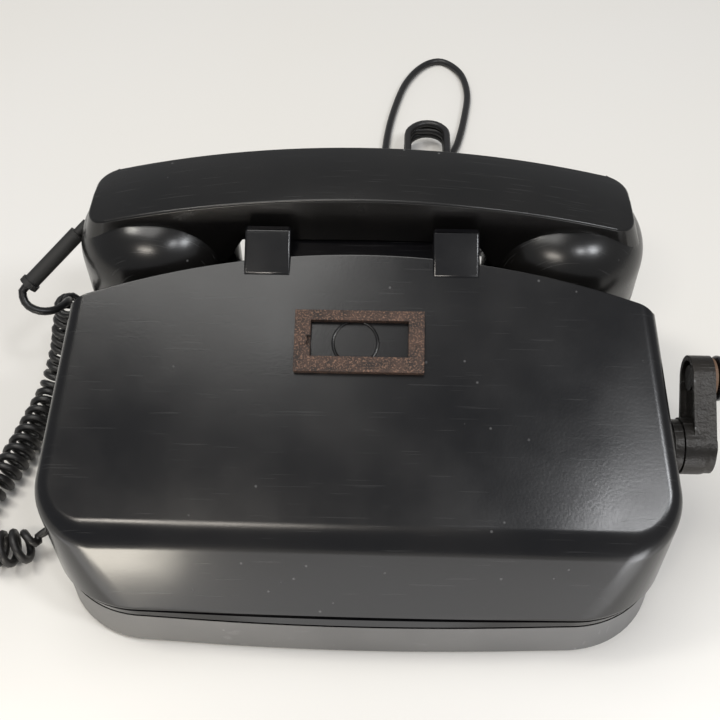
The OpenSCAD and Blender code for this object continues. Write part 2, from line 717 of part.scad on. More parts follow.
module terminal_screws() color([0.7, 0.6, 0.35]) for (x = term_x)
  translate([x, rear_y - 28, floor_z + 2]) {
    cylinder(r = 1.5, h = 6);
    translate([0, 0, 6]) cylinder(r = 3.2, h = 1);
    translate([0, 0, 7]) difference() {
      cylinder(r = 2.6, h = 2);
      translate([-4, -0.4, 1.2]) cube([8, 0.8, 2]);
    }
  }

// ---- hook switch ----
roof_z = saddle_z - wall;
lever_y = hand_y + 15;
lever_z = roof_z - 24;
bar_z = lever_z + 1.5 + 0.4;
plunge_top = saddle_z + 0.4;
foot_l = cradle_half - wall - 34.5;
module hook_bracket() color([0.6, 0.58, 0.5]) difference() {
  union() {
    for (s = [-1, 1]) {
      translate([s > 0 ? 34 : -36, hand_y - 17, lever_z - 22])
        cube([2, 38, roof_z - lever_z + 22]);
      translate([s > 0 ? 34 : -34 - foot_l, hand_y - 12, roof_z - 2]) cube([foot_l, 24, 2]);
    }
    translate([-36, hand_y - 6, lever_z - 22]) cube([72, 22, 2]);
  }
  for (s = [-1, 1], y = [-8, 8]) translate([s * 39, hand_y + y, roof_z - 5])
    cylinder(r = 1.3, h = 8);
  translate([-50, lever_y, lever_z]) rotate([0, 90, 0]) cylinder(r = 1.5, h = 100);
}
module hook_screws() color("silver") for (s = [-1, 1], y = [-8, 8])
  translate([s * 39, hand_y + y, roof_z - 2]) {
    translate([0, 0, 0]) cylinder(r = 1.3, h = 4.2);
    translate([0, 0, -1.8]) cylinder(r = 2.6, h = 1.8);
  }
module hook_plungers() color([0.85, 0.83, 0.76]) {
  for (s = [-1, 1]) translate([s * plunger_x, hand_y - 3, bar_z])
    cylinder(r = plunger_r, h = plunge_top - bar_z);
  translate([-plunger_x - 5, hand_y - 7, bar_z]) cube([2 * plunger_x + 10, 8, 4]);
}
module hook_lever() color([0.65, 0.6, 0.45]) difference() {
  union() {
    translate([-6, hand_y - 3.5, lever_z - 1.5]) cube([12, 18.5, 3]);
    translate([-6, lever_y, lever_z]) rotate([0, 90, 0]) cylinder(r = 3.4, h = 12);
    translate([-6, lever_y - 1.5, lever_z - 14]) cube([12, 3, 14]);
  }
  translate([-50, lever_y, lever_z]) rotate([0, 90, 0]) cylinder(r = 1.5 + run, h = 100);
}
module hook_pin() color("silver") translate([-37, lever_y, lever_z]) rotate([0, 90, 0])
  cylinder(r = 1.5, h = 74);
module contact_block() color([0.3, 0.18, 0.1])
  translate([-8, hand_y - 3, lever_z - 20]) cube([16, 13, 7]);
module contact_springs() color([0.8, 0.75, 0.6]) for (y = [0, 3.5, 7])
  translate([-5, hand_y - 1 + y, lever_z - 13]) {
    cube([10, 0.6, 11]);
    translate([5, 0.6, 8.6]) rotate([-90, 0, 0]) cylinder(r = 1.2, h = 0.8);
  }

// ---- handset ----
end_x0 = cup_x + 24;
top_a = asin(end_x0 / sag_r);
top_arc = arc([0, ridge_z - sag_r], sag_r, 90 - top_a, 90 + top_a, 24);
wire_a = asin(cup_x / sag_r);
low_a = asin((cup_x - 24) / under_r);
module handle_outline() {
  polygon(concat(top_arc,
    [[-cup_x - cup_r + 2.2, dome_z + 6], [-cup_x - 10, dome_z + 2], [-cup_x + 24, dome_z + 4]],
    arc([0, handle_low - under_r], under_r, 90 + low_a, 90 - low_a, 8),
    [[cup_x - 24, dome_z + 4], [cup_x + 10, dome_z + 2], [cup_x + cup_r - 2.2, dome_z + 6]]));
}

// the back's curve run along Y, then tipped so that it falls away from the ridge
module roof_side(s) {
  translate([0, hand_y, ridge_z]) rotate([-s * atan(ridge_h / (handle_w / 2)), 0, 0])
    translate([0, 60, -ridge_z]) rotate([90, 0, 0]) linear_extrude(120)
      polygon(concat([[end_x0 + 20, ridge_z - handle_sag - 60], [end_x0 + 20, top_arc[0][1] - 9]],
        top_arc, [[-end_x0 - 20, top_arc[0][1] - 9], [-end_x0 - 20, ridge_z - handle_sag - 60]]));
}

module cup_profile(o) {
  polygon(concat([[0, cap_top], [cup_r - o, cap_top]],
    arc([dome_c, dome_z], dome_r - o, 0, 90, 12), [[0, dome_z + dome_r - o]]));
}

boot_a = [-0.69, -0.51, -0.51] / norm([-0.69, -0.51, -0.51]);
boot_p = [handset_x - cup_x - cup_r + 0.5, hand_y, dome_z + 6];
// turns Z onto the direction d at the point p
module aim(p, d) {
  translate(p) rotate([0, acos(d[2] / norm(d)), atan2(d[1], d[0])]) children();
}

module handset_body() color([0.09, 0.09, 0.09]) difference() {
  translate([handset_x, 0, 0]) difference() {
    union() {
      intersection() {
        translate([0, hand_y + handle_w / 2, 0]) rotate([90, 0, 0])
          linear_extrude(handle_w) handle_outline();
        roof_side(1);
        roof_side(-1);
      }
      for (s = [-1, 1]) translate([s * cup_x, hand_y, 0]) rotate_extrude() cup_profile(0);
    }
    for (s = [-1, 1]) translate([s * cup_x, hand_y, 0]) translate([0, 0, 0])
      rotate_extrude() cup_profile(cup_wall);
    for (s = [-1, 1]) translate([s * cup_x, hand_y, cap_top - 1]) cylinder(r = cup_r - cup_wall, h = 8);
    // channel for the wires, through the handle
    translate([0, hand_y + 4, 0]) rotate([90, 0, 0]) linear_extrude(8) {
      polygon(concat(arc([0, ridge_z - 8 - sag_r], sag_r, 90 - wire_a, 90 + wire_a, 12),
        arc([0, ridge_z - 14 - sag_r], sag_r, 90 + wire_a, 90 - wire_a, 12)));
    }
  }
  aim(boot_p, boot_a) translate([0, 0, -8]) cylinder(r = 2.2, h = 14);
}

// cap with a screwed neck and a face with holes
module cap(holes) {
  difference() {
    union() {
      translate([0, 0, face_z + 2]) cylinder(r = cup_r, h = cap_h - 2 - 0.2);
      translate([0, 0, face_z]) cylinder(r = cup_r - 2, h = 3);
      translate([0, 0, cap_top - 1]) cylinder(r = cup_r - cup_wall - 0.1, h = 6);
    }
    translate([0, 0, face_z + 4]) cylinder(r = cup_r - cup_wall - 2.6, h = 60);
    translate([0, 0, face_z - 1]) cylinder(r = 20, h = 2.2);
    for (p = holes) translate([p[0], p[1], face_z - 2]) cylinder(r = 1.5, h = 9);
  }
}
function ring_of(n, r) = [for (i = [0:n - 1]) r * [cos(i * 360 / n), sin(i * 360 / n)]];
module ear_cap() color([0.09, 0.09, 0.09]) translate([handset_x + cup_x, hand_y, 0])
  cap(concat([[0, 0]], ring_of(6, 7)));
module mouth_cap() color([0.09, 0.09, 0.09]) translate([handset_x - cup_x, hand_y, 0])
  cap(concat([[0, 0]], ring_of(6, 6), ring_of(12, 12.5)));

cap_in = cup_r - cup_wall - 2.6;
module receiver() color([0.6, 0.6, 0.6]) translate([handset_x + cup_x, hand_y, face_z + 4]) {
  cylinder(r = cap_in - 0.3, h = 5);
  translate([0, 0, 5]) cylinder(r = 21, h = 14);
  for (s = [-1, 1]) translate([s * 9, 0, 19]) cylinder(r = 2, h = 3);
}
module transmitter() color([0.65, 0.62, 0.55]) translate([handset_x - cup_x, hand_y, face_z + 4]) {
  cylinder(r = cap_in - 0.3, h = 4);
  translate([0, 0, 4]) cylinder(r = 23, h = 9);
  translate([0, 0, 13]) cylinder(r = 10, h = 6);
}

// ---- cords ----
boot_l = 33;
boot_end = boot_p + boot_a * (boot_l + 1);
module cord_boot() color([0.06, 0.06, 0.06]) aim(boot_p, boot_a) difference() {
  union() {
    translate([0, 0, -3]) cylinder(r = 2.2, h = 6);
    translate([0, 0, 3]) cylinder(r = 3.4, h = boot_l - 4);
    translate([0, 0, boot_l - 1.5]) cylinder(r = 4.1, h = 2.5);
  }
  translate([0, 0, -5]) cylinder(r = cord_d / 2 - 0.2, h = 5);
}
module cord_grommet() color([0.06, 0.06, 0.06]) translate([-half_w + 0.5, grom_y, grom_z])
  rotate([0, -90, 0]) {
    translate([0, 0, -wall - 1]) cylinder(r = 4.5, h = wall + 2);
    translate([0, 0, 0.01]) cylinder(r = 6, h = 2);
    translate([0, 0, 2]) cylinder(r = 3.2, h = 6);
  }
module line_grommet() color([0.06, 0.06, 0.06]) translate([line_x, rear_y - 0.5, grom_z])
  rotate([-90, 0, 0]) {
    translate([0, 0, -wall - 1]) cylinder(r = 5, h = wall + 1.01);
    translate([0, 0, 0]) cylinder(r = 7, h = 2.5);
    translate([0, 0, 2.5]) cylinder(r = 4.2, h = 12);
    translate([0, 0, 14.5]) cylinder(r = 3.4, h = 6);
  }

// round tube of n sides through the points
function tangent(p, i) = let (a = p[max(i - 1, 0)], b = p[min(i + 1, len(p) - 1)])
  (b - a) / norm(b - a);
function side_of(t) = let (v = cross(t, abs(t[2]) > 0.95 ? [0, 1, 0] : [0, 0, 1])) v / norm(v);
module tube(p, r, n = 8) {
  m = len(p);
  pts = [for (i = [0:m - 1]) let (t = tangent(p, i), u = side_of(t), v = cross(u, t))
    for (k = [0:n - 1]) p[i] + r * (u * cos(360 * k / n) + v * sin(360 * k / n))];
  sides = [for (i = [0:m - 2], k = [0:n - 1])
    [i * n + k, i * n + (k + 1) % n, (i + 1) * n + (k + 1) % n, (i + 1) * n + k]];
  polyhedron(pts, concat([[for (k = [n - 1:-1:0]) k]], sides,
    [[for (k = [0:n - 1]) (m - 1) * n + k]]));
}
// Catmull-Rom curve through q, s steps per span
function curve(q, s) = let (m = len(q)) concat([for (i = [0:m - 2], j = [0:s - 1])
  let (t = j / s, a = q[max(i - 1, 0)], b = q[i], c = q[i + 1], d = q[min(i + 2, m - 1)])
  0.5 * (2 * b + (c - a) * t + (2 * a - 5 * b + 4 * c - d) * t * t
    + (3 * b - 3 * c + d - a) * t * t * t)], [q[m - 1]]);

// routes, chosen by hand: steps out from the left wall, shares of the way from
// the base's grommet to the handset, and heights
curl_z = curl_d / 2 + 0.2;
CURL = [for (q = [[9.6, 0.91, 63], [12.6, 0.952, 52], [16.1, 0.941, 42], [19.6, 0.931, 30],
    [24.6, 0.888, 17], [28.6, 0.814, 9], [31.6, 0.67, curl_z], [35.6, 0.452, curl_z],
    [40.6, 0.27, curl_z], [46.6, 0.121, curl_z], [48.6, -0.006, 8], [40.6, -0.092, 9],
    [28.6, -0.102, 9.5], [19.6, -0.081, 10]])
  [-half_w - q[0], grom_y + (hand_y - grom_y) * q[1], q[2]]];
lz = line_d / 2 + 0.1;
// the line cord lies behind the body, so its depths count from the rear wall
function back(q) = [for (p = q) [p[0], rear_y + p[1], p[2]]];
LINE = back([[line_x, 20.1, grom_z], [line_x, 33, 9], [12, 52, lz], [9, 77, lz], [7, 112, lz],
  [8, 147, lz], [12, 179, lz], [20, 213, lz], [32, 235, lz], [45, 241, lz], [57, 227, lz],
  [61, 203, lz], [58, 175, lz], [53, 147, lz], [47, 123, lz]]);
TAIL = back([[33, 63, 6], [38, 53, 4], [50, 47, lz], [66, 47, lz], [84, 53, lz], [98, 61, lz]]);
HANK = [33, rear_y + 107, 14];
tip = TAIL[5];

module curly_cord() color([0.06, 0.06, 0.06]) {
  tube(curve(CURL, 2), curl_d / 2, 10);
  tube(curve([boot_end + 1.2 * boot_a, boot_end + 4 * boot_a, boot_end + [-1, -5.1, -6.1],
    boot_end + [4, -6.1, -9.1], CURL[0] + [-2.5, -12, 6], CURL[0] + [0, -6, 3.5], CURL[0]], 2),
    cord_d / 2, 8);
  tube(curve([CURL[len(CURL) - 1], [-half_w - 13.6, grom_y - 3.6, 11.5],
    [-half_w - 7.5, grom_y, grom_z]], 2), cord_d / 2, 8);
}
module line_cord() color([0.07, 0.07, 0.07]) tube(curve(LINE, 2), line_d / 2, 8);
module line_tail() color([0.07, 0.07, 0.07]) tube(curve(TAIL, 1), line_d / 2, 8);
module line_hank() color([0.07, 0.07, 0.07]) translate([HANK[0], HANK[1], 0.1])
  linear_extrude(HANK[2]) {
    square([28, 64], center = true);
    for (s = [-1, 1]) translate([0, s * 32]) circle(14);
  }
module hank_tie() color([0.1, 0.09, 0.08]) translate([HANK[0], HANK[1] - 12, 0.1]) difference() {
  translate([-15.2, -3, 0]) cube([30.4, 6, HANK[2] + 1.2]);
  translate([-14, -10, -e]) cube([28, 20, HANK[2] + e]);
}
module line_ferrule() color([0.07, 0.07, 0.07]) translate(tip)
  rotate([0, 0, atan2(8, 14)]) translate([0, 0, 0.2]) rotate([0, 90, 0]) cylinder(r = 2.4, h = 9);
module line_lugs() color([0.75, 0.65, 0.4]) translate([tip[0], tip[1], 0.6])
  rotate([0, 0, atan2(8, 14)]) for (s = [-1, 1]) rotate([0, 0, 0])
    translate([9, s * 0.5 + (s > 0 ? 0 : -3.8), 0]) {
      translate([0, s > 0 ? -0.4 : 2.6, 1.2]) cube([5, 1.6, 1]);
      translate([4, 0, 1.2]) difference() {
        cube([9, 3.8, 1]);
        translate([4, 1.2, -1]) cube([6, 1.4, 4]);
      }
    }

translate([shift_x, 0, 0]) base_pan();
translate([shift_x, 0, 0]) feet();
translate([shift_x, 0, 0]) housing();
translate([shift_x, 0, 0]) housing_screws();
translate([shift_x, 0, 0]) card_frame();
translate([shift_x, 0, 0]) frame_rivets();
translate([shift_x, 0, 0]) crank_bushing();
translate([shift_x, 0, 0]) bushing_nut();
translate([shift_x, 0, 0]) magneto_frame();
translate([shift_x, 0, 0]) magneto_screws();
translate([shift_x, 0, 0]) magnets();
translate([shift_x, 0, 0]) pole_shoes();
translate([shift_x, 0, 0]) rotor();
translate([shift_x, 0, 0]) rotor_winding();
translate([shift_x, 0, 0]) rotor_shaft();
translate([shift_x, 0, 0]) pinion();
translate([shift_x, 0, 0]) crank_shaft();
translate([shift_x, 0, 0]) drive_gear();
translate([shift_x, 0, 0]) crank_arm();
translate([shift_x, 0, 0]) crank_screw();
translate([shift_x, 0, 0]) knob_spindle();
translate([shift_x, 0, 0]) knob_washer();
translate([shift_x, 0, 0]) crank_knob();
translate([shift_x, 0, 0]) ringer_frame();
translate([shift_x, 0, 0]) ringer_coils();
translate([shift_x, 0, 0]) ringer_pin();
translate([shift_x, 0, 0]) clapper();
translate([shift_x, 0, 0]) gongs();
translate([shift_x, 0, 0]) gong_posts();
translate([shift_x, 0, 0]) gong_screws();
translate([shift_x, 0, 0]) induction_coil();
translate([shift_x, 0, 0]) induction_winding();
translate([shift_x, 0, 0]) capacitor();
translate([shift_x, 0, 0]) terminal_block();
translate([shift_x, 0, 0]) terminal_screws();
translate([shift_x, 0, 0]) hook_bracket();
translate([shift_x, 0, 0]) hook_screws();
translate([shift_x, 0, 0]) hook_plungers();
translate([shift_x, 0, 0]) hook_lever();
translate([shift_x, 0, 0]) hook_pin();
translate([shift_x, 0, 0]) contact_block();
translate([shift_x, 0, 0]) contact_springs();
translate([shift_x, 0, 0]) handset_body();
translate([shift_x, 0, 0]) mouth_cap();
translate([shift_x, 0, 0]) ear_cap();
translate([shift_x, 0, 0]) transmitter();
translate([shift_x, 0, 0]) receiver();
translate([shift_x, 0, 0]) cord_boot();
translate([shift_x, 0, 0]) cord_grommet();
translate([shift_x, 0, 0]) line_grommet();
translate([shift_x, 0, 0]) curly_cord();
translate([shift_x, 0, 0]) line_cord();
translate([shift_x, 0, 0]) line_hank();
translate([shift_x, 0, 0]) hank_tie();
translate([shift_x, 0, 0]) line_tail();
translate([shift_x, 0, 0]) line_ferrule();
translate([shift_x, 0, 0]) line_lugs();
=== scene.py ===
"""Magneto desk telephone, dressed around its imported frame.

Sizes are in millimetres, in the body's own frame: X along the handset, Y to
the back, Z up from the table. A piece is drawn there and then settled into
the part's place, in metres.
"""

import json
import logging
import math
from collections.abc import Callable, Iterator, Sequence
from contextlib import contextmanager
from dataclasses import dataclass
from enum import Enum

import bmesh
import bpy
from mathutils import Matrix, Vector


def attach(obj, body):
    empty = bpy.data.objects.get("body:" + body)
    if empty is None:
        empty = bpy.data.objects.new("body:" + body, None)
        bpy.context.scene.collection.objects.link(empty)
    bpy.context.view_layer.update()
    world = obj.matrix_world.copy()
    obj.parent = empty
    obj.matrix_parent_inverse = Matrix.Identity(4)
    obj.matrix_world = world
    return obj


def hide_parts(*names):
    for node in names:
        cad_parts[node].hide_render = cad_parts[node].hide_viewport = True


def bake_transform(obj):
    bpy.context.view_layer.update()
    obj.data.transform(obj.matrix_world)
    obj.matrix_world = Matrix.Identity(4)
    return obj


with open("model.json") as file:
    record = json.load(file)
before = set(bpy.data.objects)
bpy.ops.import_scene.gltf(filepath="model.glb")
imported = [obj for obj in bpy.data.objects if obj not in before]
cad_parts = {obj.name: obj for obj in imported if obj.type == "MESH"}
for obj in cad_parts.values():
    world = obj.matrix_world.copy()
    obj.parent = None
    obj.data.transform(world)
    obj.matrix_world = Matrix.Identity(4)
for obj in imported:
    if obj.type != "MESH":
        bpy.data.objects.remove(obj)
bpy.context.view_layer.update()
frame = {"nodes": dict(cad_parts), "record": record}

logging.basicConfig(level=logging.INFO, format="%(message)s")
LOG = logging.getLogger("telephone")

MM = 0.001
SHIFT_X = -25.518
Object = bpy.types.Object
Point = Sequence[float]
Tint = tuple[float, float, float]
Socket = bpy.types.NodeSocket
Edge = bmesh.types.BMEdge
SHADER = "Principled BSDF"
WEAR = ("Cloud", "Grain", "Scratch", "Speck")


class Part(Enum):
    """What a selection is made of."""

    VERT = "verts"
    EDGE = "edges"
    FACE = "faces"


class Join(Enum):
    """How a tool piece changes another piece."""

    UNION = "UNION"
    CUT = "DIFFERENCE"


# ---- modelling helpers ----


def only(piece: Object) -> None:
    """Makes one piece the only selected and active one.

    Args:
        piece: The piece to work on.
    """
    bpy.ops.object.select_all(action="DESELECT")
    piece.select_set(True)
    bpy.context.view_layer.objects.active = piece


def fix_transform() -> None:
    """Writes the selected pieces' place, turn and size into their meshes."""
    bpy.ops.object.transform_apply(location=True, rotation=True, scale=True)


def to_metres(piece: Object) -> None:
    """Brings a piece from the drawing's frame into the part's.

    Args:
        piece: The selected piece, drawn in millimetres.
    """
    piece.scale = (MM, MM, MM)
    piece.location = (SHIFT_X * MM, 0, 0)
    fix_transform()


@contextmanager
def editing(piece: Object) -> Iterator[None]:
    """Works in edit mode on one piece.

    Args:
        piece: The piece to edit.
    """
    only(piece)
    bpy.ops.object.mode_set(mode="EDIT")
    yield
    bpy.ops.object.mode_set(mode="OBJECT")


def pick(piece: Object, part: Part, test: Callable[..., bool]) -> int:
    """Selects, in edit mode, the parts that pass a test.

    Args:
        piece: The piece in edit mode.
        part: Vertices, edges or faces.
        test: Says whether one of them is wanted.

    Returns:
        How many were selected.
    """
    bpy.ops.mesh.select_mode(type=part.name)
    bpy.ops.mesh.select_all(action="DESELECT")
    mesh = bmesh.from_edit_mesh(piece.data)
    mesh.normal_update()
    found = [item for item in getattr(mesh, part.value) if test(item)]
    for item in found:
        item.select_set(True)
    mesh.select_flush_mode()
    bmesh.update_edit_mesh(piece.data)
    return len(found)


def at_x(vert: bmesh.types.BMVert, x: float) -> bool:
    """Whether a vertex lies at a place along X."""
    return abs(vert.co.x - x) < 0.01


def over(height: float) -> Callable[..., bool]:
    """A test for edges that lie above a height."""
    return lambda e: min(v.co.z for v in e.verts) > height


def under(height: float) -> Callable[..., bool]:
    """A test for edges that lie below a height."""
    return lambda e: max(v.co.z for v in e.verts) < height


def face_outwards() -> None:
    """Turns all the faces of the piece in edit mode outwards."""
    bpy.ops.mesh.select_all(action="SELECT")
    bpy.ops.mesh.normals_make_consistent(inside=False)


def cut(piece: Object, point: Point, normal: Point, clear: bool = True) -> None:
    """Bisects a whole piece with a plane.

    Args:
        piece: The piece to cut.
        point: A point on the plane.
        normal: The plane's normal, towards the side that goes.
        clear: Whether that side goes and the cut is closed.
    """
    with editing(piece):
        bpy.ops.mesh.select_all(action="SELECT")
        bpy.ops.mesh.bisect(
            plane_co=point, plane_no=normal, use_fill=clear, clear_outer=clear
        )


def round_edges(
    piece: Object, radius: float, steps: int, test: Callable[..., bool]
) -> None:
    """Bevels the edges that pass a test.

    Args:
        piece: The piece to round.
        radius: Width of the bevel.
        steps: Segments across it.
        test: Says whether an edge is wanted.
    """
    with editing(piece):
        if pick(piece, Part.EDGE, test):
            bpy.ops.mesh.bevel(offset=radius, segments=steps, clamp_overlap=False)


def block(name: str, low: Point, high: Point) -> Object:
    """Adds a box between two corners.

    Args:
        name: Name of the piece.
        low: Its lowest corner.
        high: Its highest corner.

    Returns:
        The box.
    """
    middle = [(a + b) / 2 for a, b in zip(low, high)]
    bpy.ops.mesh.primitive_cube_add(size=1, location=middle)
    piece = bpy.context.object
    piece.name = name
    piece.scale = [b - a for a, b in zip(low, high)]
    fix_transform()
    return piece


def rod(
    name: str, radius: float, start: Point, end: Point, sides: int = 64
) -> Object:
    """Adds a cylinder between the centres of its two ends.

    Args:
        name: Name of the piece.
        radius: Its radius.
        start: Centre of one end.
        end: Centre of the other end.
        sides: Faces around it.

    Returns:
        The cylinder.
    """
    a, b = Vector(start), Vector(end)
    turn = (b - a).to_track_quat("Z", "Y").to_euler()
    bpy.ops.mesh.primitive_cylinder_add(
        vertices=sides,
        radius=radius,
        depth=(b - a).length,
        location=(a + b) / 2,
        rotation=turn,
    )
    piece = bpy.context.object
    piece.name = name
    fix_transform()
    return piece


def combine(piece: Object, tool: Object, how: Join) -> None:
    """Joins a tool into a piece, or cuts it out, and removes the tool.

    Args:
        piece: The piece that stays.
        tool: The piece that is used up.
        how: Union or cut.
    """
    only(piece)
    modifier = piece.modifiers.new("join", "BOOLEAN")
    modifier.operation = how.value
    modifier.solver = "EXACT"
    modifier.object = tool
    bpy.ops.object.modifier_apply(modifier=modifier.name)
    bpy.data.objects.remove(tool)


def soften(piece: Object, width: float) -> None:
    """Takes the sharpness off a piece's edges.

    Args:
        piece: The piece to soften.
        width: Width of the bevel.
    """
    only(piece)
    soft = piece.modifiers.new("soft", "BEVEL")
    soft.width, soft.segments, soft.angle_limit = width, 3, math.radians(50)
    bpy.ops.object.modifier_apply(modifier=soft.name)


def settle(piece: Object, smooth: float = 32.0) -> Object:
    """Brings a drawn piece to its real place and shades it.

    Args:
        piece: The piece, drawn in millimetres.
        smooth: Angle in degrees above which an edge stays sharp.

    Returns:
        The piece, at the origin and in metres.
    """
    only(piece)
    to_metres(piece)
    bpy.ops.object.shade_smooth_by_angle(angle=math.radians(smooth))
    modifier = piece.modifiers.new("normals", "WEIGHTED_NORMAL")
    modifier.keep_sharp = True
    modifier.weight = 90
    bpy.ops.object.modifier_apply(modifier=modifier.name)
    return piece


# ---- finishes ----


class Graph:
    """A node tree that is filled node by node."""

    def __init__(self, tree: bpy.types.NodeTree) -> None:
        """Keeps the tree that is filled."""
        self.tree = tree

    def add(self, kind: str, inputs: dict | None = None, **settings: object):
        """Adds a node.

        Args:
            kind: The node's type.
            inputs: Values or sockets for its inputs, by name or number.
            **settings: Properties of the node.

        Returns:
            The node.
        """
        node = self.tree.nodes.new(kind)
        for key, value in settings.items():
            setattr(node, key, value)
        for key, value in (inputs or {}).items():
            if isinstance(value, Socket):
                self.tree.links.new(value, node.inputs[key])
            else:
                node.inputs[key].default_value = value
        return node

    def math(self, how: str, *values: object) -> Socket:
        """The result of a Math node on values or sockets."""
        inputs = dict(enumerate(values))
        return self.add("ShaderNodeMath", inputs, operation=how).outputs[0]

    def noise(self, scale: float, detail: float, where: object) -> Socket:
        """Noise of a scale and detail over a vector."""
        return self.add(
            "ShaderNodeTexNoise", {"Vector": where, "Scale": scale, "Detail": detail}
        ).outputs["Fac"]

    def span(self, value: object, low: float, high: float) -> Socket:
        """How far a value lies from low to high, from 0 to 1."""
        return self.add("ShaderNodeMapRange", {0: value, 1: low, 2: high}).outputs[0]

    def blend(self, share: object, first: object, second: object) -> Socket:
        """A mix of two colours."""
        return self.add(
            "ShaderNodeMix", {0: share, 6: first, 7: second}, data_type="RGBA"
        ).outputs[2]

    def relief(self, depth: float, reach: float, height: object) -> Socket:
        """Normals of a small relief, from its strength, reach and height."""
        return self.add(
            "ShaderNodeBump", {"Strength": depth, "Distance": reach, "Height": height}
        ).outputs[0]

    def feed(self, colour: object, rough: object, normal: object) -> None:
        """Links the shader's inputs.

        Args:
            colour: The base colour.
            rough: The roughness.
            normal: The normals.
        """
        inputs = self.tree.nodes[SHADER].inputs
        self.tree.links.new(colour, inputs["Base Color"])
        self.tree.links.new(rough, inputs["Roughness"])
        self.tree.links.new(normal, inputs["Normal"])


def new_material(name: str) -> tuple[bpy.types.Material, Graph]:
    """Adds a material.

    Args:
        name: Its name.

    Returns:
        The material and its node tree.
    """
    material = bpy.data.materials.new(name)
    material.use_nodes = True
    return material, Graph(material.node_tree)


def wear_group() -> bpy.types.NodeTree:
    """The wear that every old surface shares.

    Returns:
        A group that puts out Cloud, Grain, Scratch and Speck.
    """
    if found := bpy.data.node_groups.get("surface_wear"):
        return found
    tree = bpy.data.node_groups.new("surface_wear", "ShaderNodeTree")
    for name in WEAR:
        tree.interface.new_socket(
            name=name, in_out="OUTPUT", socket_type="NodeSocketFloat"
        )
    g = Graph(tree)
    where = g.add("ShaderNodeTexCoord").outputs["Object"]
    cloud = g.span(g.noise(22, 5, where), 0.36, 0.68)
    grain = g.noise(950, 3, where)
    scratch = None
    for turn, stretch in ((0.5, 1500), (-0.65, 1300), (1.35, 1700)):
        lines = g.add(
            "ShaderNodeMapping",
            {"Vector": where, "Rotation": (0.2, 0.1, turn), "Scale": (34, stretch, 90)},
        ).outputs[0]
        thin = g.span(g.noise(1, 1, lines), 0.715, 0.76)
        broken = g.span(g.noise(48, 1, lines), 0.42, 0.56)
        one = g.math("MULTIPLY", thin, broken)
        scratch = one if scratch is None else g.math("MAXIMUM", scratch, one)
    cells = g.add("ShaderNodeTexVoronoi", {"Vector": where, "Scale": 210.0})
    near = g.span(cells.outputs["Distance"], 0.13, 0.07)
    chance = g.add("ShaderNodeSeparateColor", {0: cells.outputs["Color"]}).outputs[0]
    speck = g.math("MULTIPLY", near, g.span(chance, 0.90, 0.93))
    out = g.add("NodeGroupOutput")
    for name, value in zip(WEAR, (cloud, grain, scratch, speck)):
        tree.links.new(value, out.inputs[name])
    return tree


@dataclass(frozen=True)
class Surface:
    """A material that is built once."""

    name: str

    def make(self) -> bpy.types.Material:
        """Builds the material, or finds it.

        Returns:
            The material.
        """
        if found := bpy.data.materials.get(self.name):
            return found
        material, graph = new_material(self.name)
        self.paint(graph)
        return material


@dataclass(frozen=True)
class Finish(Surface):
    """A material: two tones, gloss and how worn it is."""

    tone: Tint
    other: Tint
    rough: float
    metal: float = 0.0
    wear: float = 0.3
    dust: float = 0.3
    bump: float = 0.1
    spread: float = 0.1
    coarse: float = 0.0

    def paint(self, g: Graph) -> None:
        """Fills the material's node tree.

        Args:
            g: The tree.
        """
        wear = g.add("ShaderNodeGroup", node_tree=wear_group()).outputs
        colour = g.blend(wear["Cloud"], (*self.tone, 1), (*self.other, 1))
        worn = g.math("MULTIPLY", wear["Scratch"], self.wear)
        dusty = g.math("MULTIPLY", wear["Speck"], self.dust)
        marks = g.math("MAXIMUM", worn, dusty)
        pale = tuple(min(1.0, 0.25 + 1.2 * c) for c in self.tone)
        colour = g.blend(marks, colour, (*pale, 1))
        rough = g.math("MULTIPLY_ADD", wear["Cloud"], self.spread, self.rough)
        rough = g.math("MULTIPLY_ADD", worn, 0.25, rough)
        height = g.math("SUBTRACT", wear["Grain"], worn)
        if self.coarse:
            where = g.add("ShaderNodeTexCoord").outputs["Object"]
            height = g.math("MULTIPLY_ADD", g.noise(320, 4, where), self.coarse, height)
        g.feed(colour, rough, g.relief(self.bump, 0.0004, height))
        g.tree.nodes[SHADER].inputs["Metallic"].default_value = self.metal


@dataclass(frozen=True)
class Rust(Surface):
    """Thin steel that has gone brown all over."""

    name: str = "rusted_steel"
    dark: Tint = (0.016, 0.010, 0.008)
    brown: Tint = (0.062, 0.034, 0.024)
    orange: Tint = (0.24, 0.14, 0.095)

    def paint(self, g: Graph) -> None:
        """Fills the material's node tree.

        Args:
            g: The tree.
        """
        where = g.add("ShaderNodeTexCoord").outputs["Object"]
        fine, broad = g.noise(1500, 5, where), g.noise(160, 4, where)
        colour = g.blend(g.span(broad, 0.35, 0.65), (*self.dark, 1), (*self.brown, 1))
        colour = g.blend(g.span(fine, 0.5, 0.72), colour, (*self.orange, 1))
        height = g.math("MULTIPLY_ADD", broad, 0.8, fine)
        rough = g.math("MULTIPLY_ADD", fine, 0.3, 0.45)
        g.feed(colour, rough, g.relief(0.75, 0.0005, height))
        g.tree.nodes[SHADER].inputs["Metallic"].default_value = 0.25


